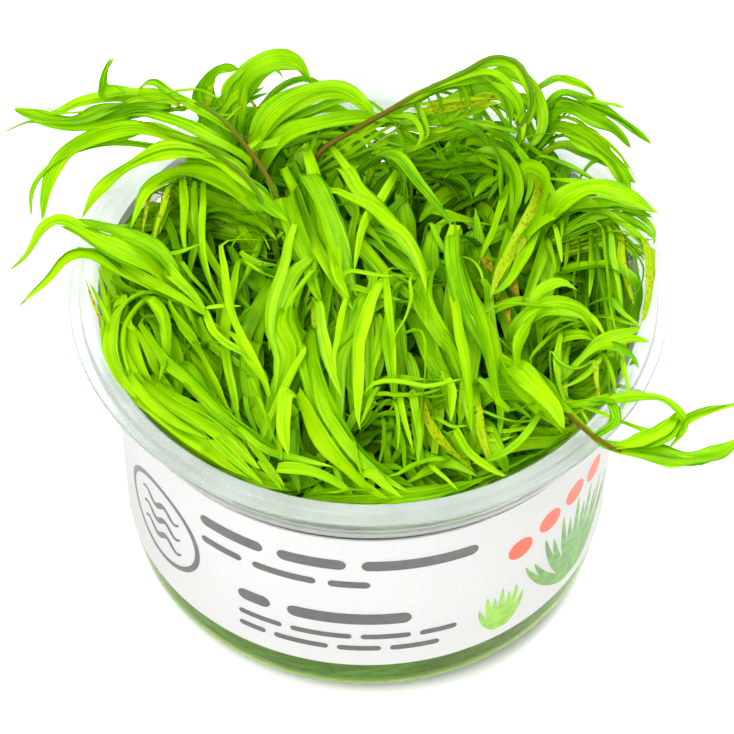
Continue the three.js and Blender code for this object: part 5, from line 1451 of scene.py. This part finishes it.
def companions(rng):
    """Leaves that lie under the canopy's and run much as they do: each is a canopy leaf shifted aside and
    down, turned a little, and made shorter or longer. None lies in a hollow. Each takes a darker tone than
    the leaf above it, as painted shade, and the darkest once it lies far down."""
    extra = []
    for width, tone, points in CANOPY:
        if width < COMPANION_NARROWEST or max(math.hypot(x, y) for x, y, _ in points) > COMPANION_REACH:
            continue
        for _ in range(COMPANIONS_EACH):
            moved = np.array(points, float)
            turn = rng.normal(0, COMPANION_TURN)
            spin = np.array([[math.cos(turn), -math.sin(turn)], [math.sin(turn), math.cos(turn)]])
            run = moved[:, :2] - moved[0, :2]
            drop = rng.uniform(*COMPANION_DROP)
            run = run @ spin.T * rng.uniform(*COMPANION_LENGTH)
            moved[:, :2] = moved[0, :2] + run + rng.normal(0, COMPANION_SHIFT, 2)
            moved[:, 2] -= drop
            reach = np.hypot(moved[:, 0], moved[:, 1])
            moved[:, :2] *= np.minimum(1, COMPANION_REACH / reach)[:, None]
            shaded_tone = TONE_SHADED_UNDER[tone] if drop < COMPANION_DARKEST_SHADE_FROM else "deep_in_shade"
            if not in_hollow(moved):
                extra.append((rng.uniform(*COMPANION_WIDTH) * width, shaded_tone, moved.tolist()))
    return extra


def add_canopy(shoots):
    """Gives each canopy leaf to the shoot whose stem passes nearest below the leaf's first point, or
    nearest at any height where that point is higher than the tangle."""
    lines = np.stack([even_route(shoot["stem"], STEM_STATIONS) for shoot in shoots])
    table = CANOPY + companions(np.random.default_rng(COMPANION_SEED))
    for tone in TONES:
        given = {}
        for width, kind, points in table:
            if kind != tone:
                continue
            gap = lines - np.array(points[0])
            not_below = (gap[..., 2] > -STEM_BELOW) & (points[0][2] < HIGH_LEAF)
            cost = np.linalg.norm(gap, axis=-1) + STEM_BELOW_COST * not_below
            owner, station = np.unravel_index(cost.argmin(), cost.shape)
            line = np.array([lines[owner, station], *points])
            spans = np.linalg.norm(np.diff(line, axis=0), axis=1)
            far = np.hypot(line[1:, 0], line[1:, 1]).max()
            hidden = min(MOST_HIDDEN, spans[0] / spans.sum())
            given.setdefault(owner, []).append((smooth_route(line, LEAF_STATIONS), width, far, hidden))
        for owner, rows in given.items():
            shoot = shoots[owner]
            rng = np.random.default_rng(shoot["seed"] + CANOPY_SEED)
            routes, width, reach, bend = (np.array(column) for column in zip(*rows))
            shoot["leaves"].append(leaf_set(tone, routes, rng, width, reach < RIM_RADIUS, bend))


def make_foliage(shoot, material):
    """One shoot as one mesh: its stem and all its leaves, with the attributes that the leaf material reads.

    strap is a place on the leaf's flat sheet in millimetres, with a number of its own for each leaf, and
    place is how far out from the midrib, how far along, and whether it is a stem.
    """
    points, faces = stem_body(shoot["stem"])
    count = len(points)
    along = np.linspace(0, STEM_STRAP, count)
    strap = np.stack([np.zeros(count), along, np.full(count, shoot["seed"])], -1)
    place = np.tile(STEM_PLACE, (count, 1))
    browned = np.interp(np.linspace(0, 1, count), *shoot["browned"])
    parts = [(points, faces, strap, place, np.full(count, STEM_TINT), browned)]
    rng = np.random.default_rng(shoot["seed"] + STRAP_SEED)
    parts += [strap_leaves(leaves, rng) for leaves in shoot["leaves"] if len(leaves[0])]
    strap, place, tint_and_shade, age = (np.concatenate([part[k] for part in parts]) for k in (2, 3, 4, 5))
    attributes = [
        ("strap", "FLOAT_VECTOR", strap),
        ("place", "FLOAT_VECTOR", place),
        ("tint_and_shade", "FLOAT", tint_and_shade),
        ("age", "FLOAT", age),
    ]
    points, faces = joined([part[:2] for part in parts])
    make_piece(shoot["name"], points, faces, material, [shoot["node"]], "leaf_green", attributes)


# Materials


def clear_plastic(name, clear, milky, milkier, bending=1.42, sheen=0.5):
    """Polypropylene, injection moulded: see-through but a little milky, more so where it is thick, which is
    at the rim, and in a band at the shoulder that is a painted highlight. At the thin foot it takes the
    colour of the gel and leaves against it."""
    material, tree = new_material(name)
    # Slow clouds in the melt, some 8 mm across, make it more and less milky.
    tone = ramp(tree, solid_noise(tree, 120.0, 2.0), [(0.3, milky), (0.7, milkier)])
    shader = add(
        tree,
        "ShaderNodeBsdfPrincipled",
        {"Roughness": 0.15, "IOR": bending, "Transmission Weight": clear, "Specular IOR Level": sheen},
        {"Base Color": tone.outputs["Color"]},
    )
    return surfaced(material, shader)


def label_film():
    """Polypropylene film, printed and laminated: bright white, satin, and letting some light through."""
    material, tree = new_material("label_film_laminated")
    # The film's faint orange peel, under a millimetre across.
    peel = solid_noise(tree, 1400.0, 2.0)
    bump = add(tree, "ShaderNodeBump", {"Strength": 0.04, "Distance": 0.0001}, {"Height": peel})
    tone = ramp(tree, peel, [(0.3, "#E5E5E3"), (0.7, "#E9E9E8")])
    shader = add(
        tree,
        "ShaderNodeBsdfPrincipled",
        {"Roughness": 0.32, "Coat Weight": 0.3, "Coat Roughness": 0.15},
        {"Base Color": tone.outputs["Color"], "Normal": bump.outputs["Normal"]},
    )
    through = add(tree, "ShaderNodeBsdfTranslucent", links={"Color": tone.outputs["Color"]})
    both = add(tree, "ShaderNodeMixShader", {0: 0.45}, {1: shader.outputs[0], 2: through.outputs[0]})
    return surfaced(material, both)


def ink(name, light, dark):
    """Printing ink under laminate: even, with a faint mottle of two near tones, 2 mm across."""
    material, tree = new_material(name)
    tone = ramp(tree, solid_noise(tree, 600.0, 3.0), [(0.35, dark), (0.65, light)])
    links = {"Base Color": tone.outputs["Color"]}
    shader = add(tree, "ShaderNodeBsdfPrincipled", {"Roughness": 0.35}, links)
    return surfaced(material, shader)


def soft_gel():
    """Agar gel, poured: see-through, green from the leaves in it, with a wet and slightly lumpy top."""
    material, tree = new_material("agar_gel_poured")
    # Lumps some 4 mm across.
    lumps = solid_noise(tree, 260.0, 3.0)
    bump = add(tree, "ShaderNodeBump", {"Strength": 0.25, "Distance": 0.0006}, {"Height": lumps})
    shader = add(
        tree,
        "ShaderNodeBsdfPrincipled",
        {"Base Color": linear("#8AAA28"), "Roughness": 0.12, "IOR": 1.34, "Transmission Weight": 0.9},
        {"Normal": bump.outputs["Normal"]},
    )
    return surfaced(material, shader)


def fresh_leaf():
    """Fresh leaf, grown: thin and half see-through, so light from behind makes it glow, with fine lines along
    it and a darker band along each edge, which is painted shade between neighbouring leaves. Each leaf's tone
    carries painted shade and light as well: darker lower in the tangle, paler on top. Older leaves are
    yellower, with brown flecks."""
    material, tree = new_material("water_plant_leaf_fresh")
    names = ("strap", "place", "tint_and_shade", "age")
    read = {name: add(tree, "ShaderNodeAttribute", {"attribute_name": name}).outputs for name in names}
    strap, age = read["strap"]["Vector"], read["age"]["Fac"]
    across = add(tree, "ShaderNodeSeparateXYZ", links={0: read["place"]["Vector"]}).outputs
    # Long veins about 0.3 mm apart: noise squeezed along the leaf.
    veins = strap_noise(tree, strap, (3.2, 0.05))
    # Broad cloudy patches a few millimetres long.
    clouds = strap_noise(tree, strap, (0.5, 0.16))
    shade = calculated(tree, "MULTIPLY_ADD", veins, 1.5, -0.75)
    shade = calculated(tree, "ADD", shade, calculated(tree, "MULTIPLY_ADD", clouds, 0.8, -0.4))
    # Each leaf's own tone, with painted shade on leaves lower in the tangle and painted light on the canopy's
    # top ones
    shade = calculated(tree, "ADD", shade, read["tint_and_shade"]["Fac"])
    # Each edge is darker, in a line about an eighth of the half width: painted shade in the gaps between
    # neighbouring leaves.
    edge_shade = calculated(tree, "GREATER_THAN", across["X"], 0.88)
    shade = calculated(tree, "MULTIPLY_ADD", edge_shade, -0.2, shade)
    greens = [(0.0, "#429000"), (0.25, "#6AB200"), (0.5, "#8CCA00"), (0.75, "#A4D900"), (1.0, "#B8E404")]
    colour = ramp(tree, shade, greens).outputs["Color"]
    # Old leaves turn yellow as a whole.
    colour = blended(tree, calculated(tree, "MULTIPLY_ADD", age, 0.6, -0.36), colour, "#BCCC10")
    # Brown flecks about half a millimetre across, on older leaves.
    spots = strap_noise(tree, strap, (2.2, 1.2), 1.0)
    spotted = calculated(tree, "GREATER_THAN", spots, calculated(tree, "MULTIPLY_ADD", age, -0.16, 0.86))
    colour = blended(tree, calculated(tree, "MULTIPLY", spotted, 0.75), colour, "#A87A1A")
    # Stems are olive, and browner on older shoots.
    woody = ramp(tree, age, [(0.2, "#6E9A18"), (0.9, "#7A6A1C")])
    colour = blended(tree, across["Z"], colour, woody.outputs["Color"])
    bump = add(tree, "ShaderNodeBump", {"Strength": 0.35, "Distance": 0.0001}, {"Height": veins})
    normal = bump.outputs["Normal"]
    front = add(
        tree,
        "ShaderNodeBsdfPrincipled",
        {"Roughness": 0.45, "IOR": 1.4, "Specular IOR Level": 0.12},
        {"Base Color": colour, "Normal": normal},
    )
    through = add(tree, "ShaderNodeBsdfTranslucent", links={"Color": colour, "Normal": normal})
    both = add(tree, "ShaderNodeMixShader", {0: 0.45}, {1: front.outputs[0], 2: through.outputs[0]})
    return surfaced(material, both)


def studio_floor():
    """Painted board, rolled: plain and pale."""
    material, tree = new_material("painted_board_rolled")
    shader = add(tree, "ShaderNodeBsdfPrincipled", {"Base Color": linear("#FBFBFA"), "Roughness": 0.8})
    return surfaced(material, shader)


def make_floor(material):
    """A level square far wider than the view."""
    edge = np.linspace(-FLOOR_HALF, FLOOR_HALF, FLOOR_LINES)
    x, y = np.meshgrid(edge, edge)
    points = np.stack([x, y, np.zeros_like(x)], -1).reshape(-1, 3)
    floor = make_piece("floor", points, [grid_faces(FLOOR_LINES, FLOOR_LINES)[:, ::-1]], material)


make_camera()
make_studio()
make_floor(studio_floor())
make_cup(
    clear_plastic("polypropylene_moulded", 0.93, "#F2F5F1", "#FAFCF9"),
    # The thick plastic is also the painted highlight band at the shoulder.
    clear_plastic("polypropylene_moulded_thick_and_highlight", 0.72, "#CED5CF", "#DAE0DB", 1.3),
    clear_plastic("polypropylene_moulded_thin", 0.93, "#A4CC48", "#B6D85C", 1.3, 0.15),
)
make_label(label_film())
make_print(
    ink("ink_dark_grey", "#4C504E", "#404442"),
    ink("ink_pale_green", "#86BA1C", "#6AA012"),
    ink("ink_leaf_green", "#5C9A0E", "#387006"),
    ink("ink_orange", "#EE4A0C", "#DC3A06"),
)
make_gel(soft_gel())
leaf = fresh_leaf()
all_shoots = named_shoots() + filler_shoots()
add_canopy(all_shoots)
for one_shoot in all_shoots:
    make_foliage(one_shoot, leaf)
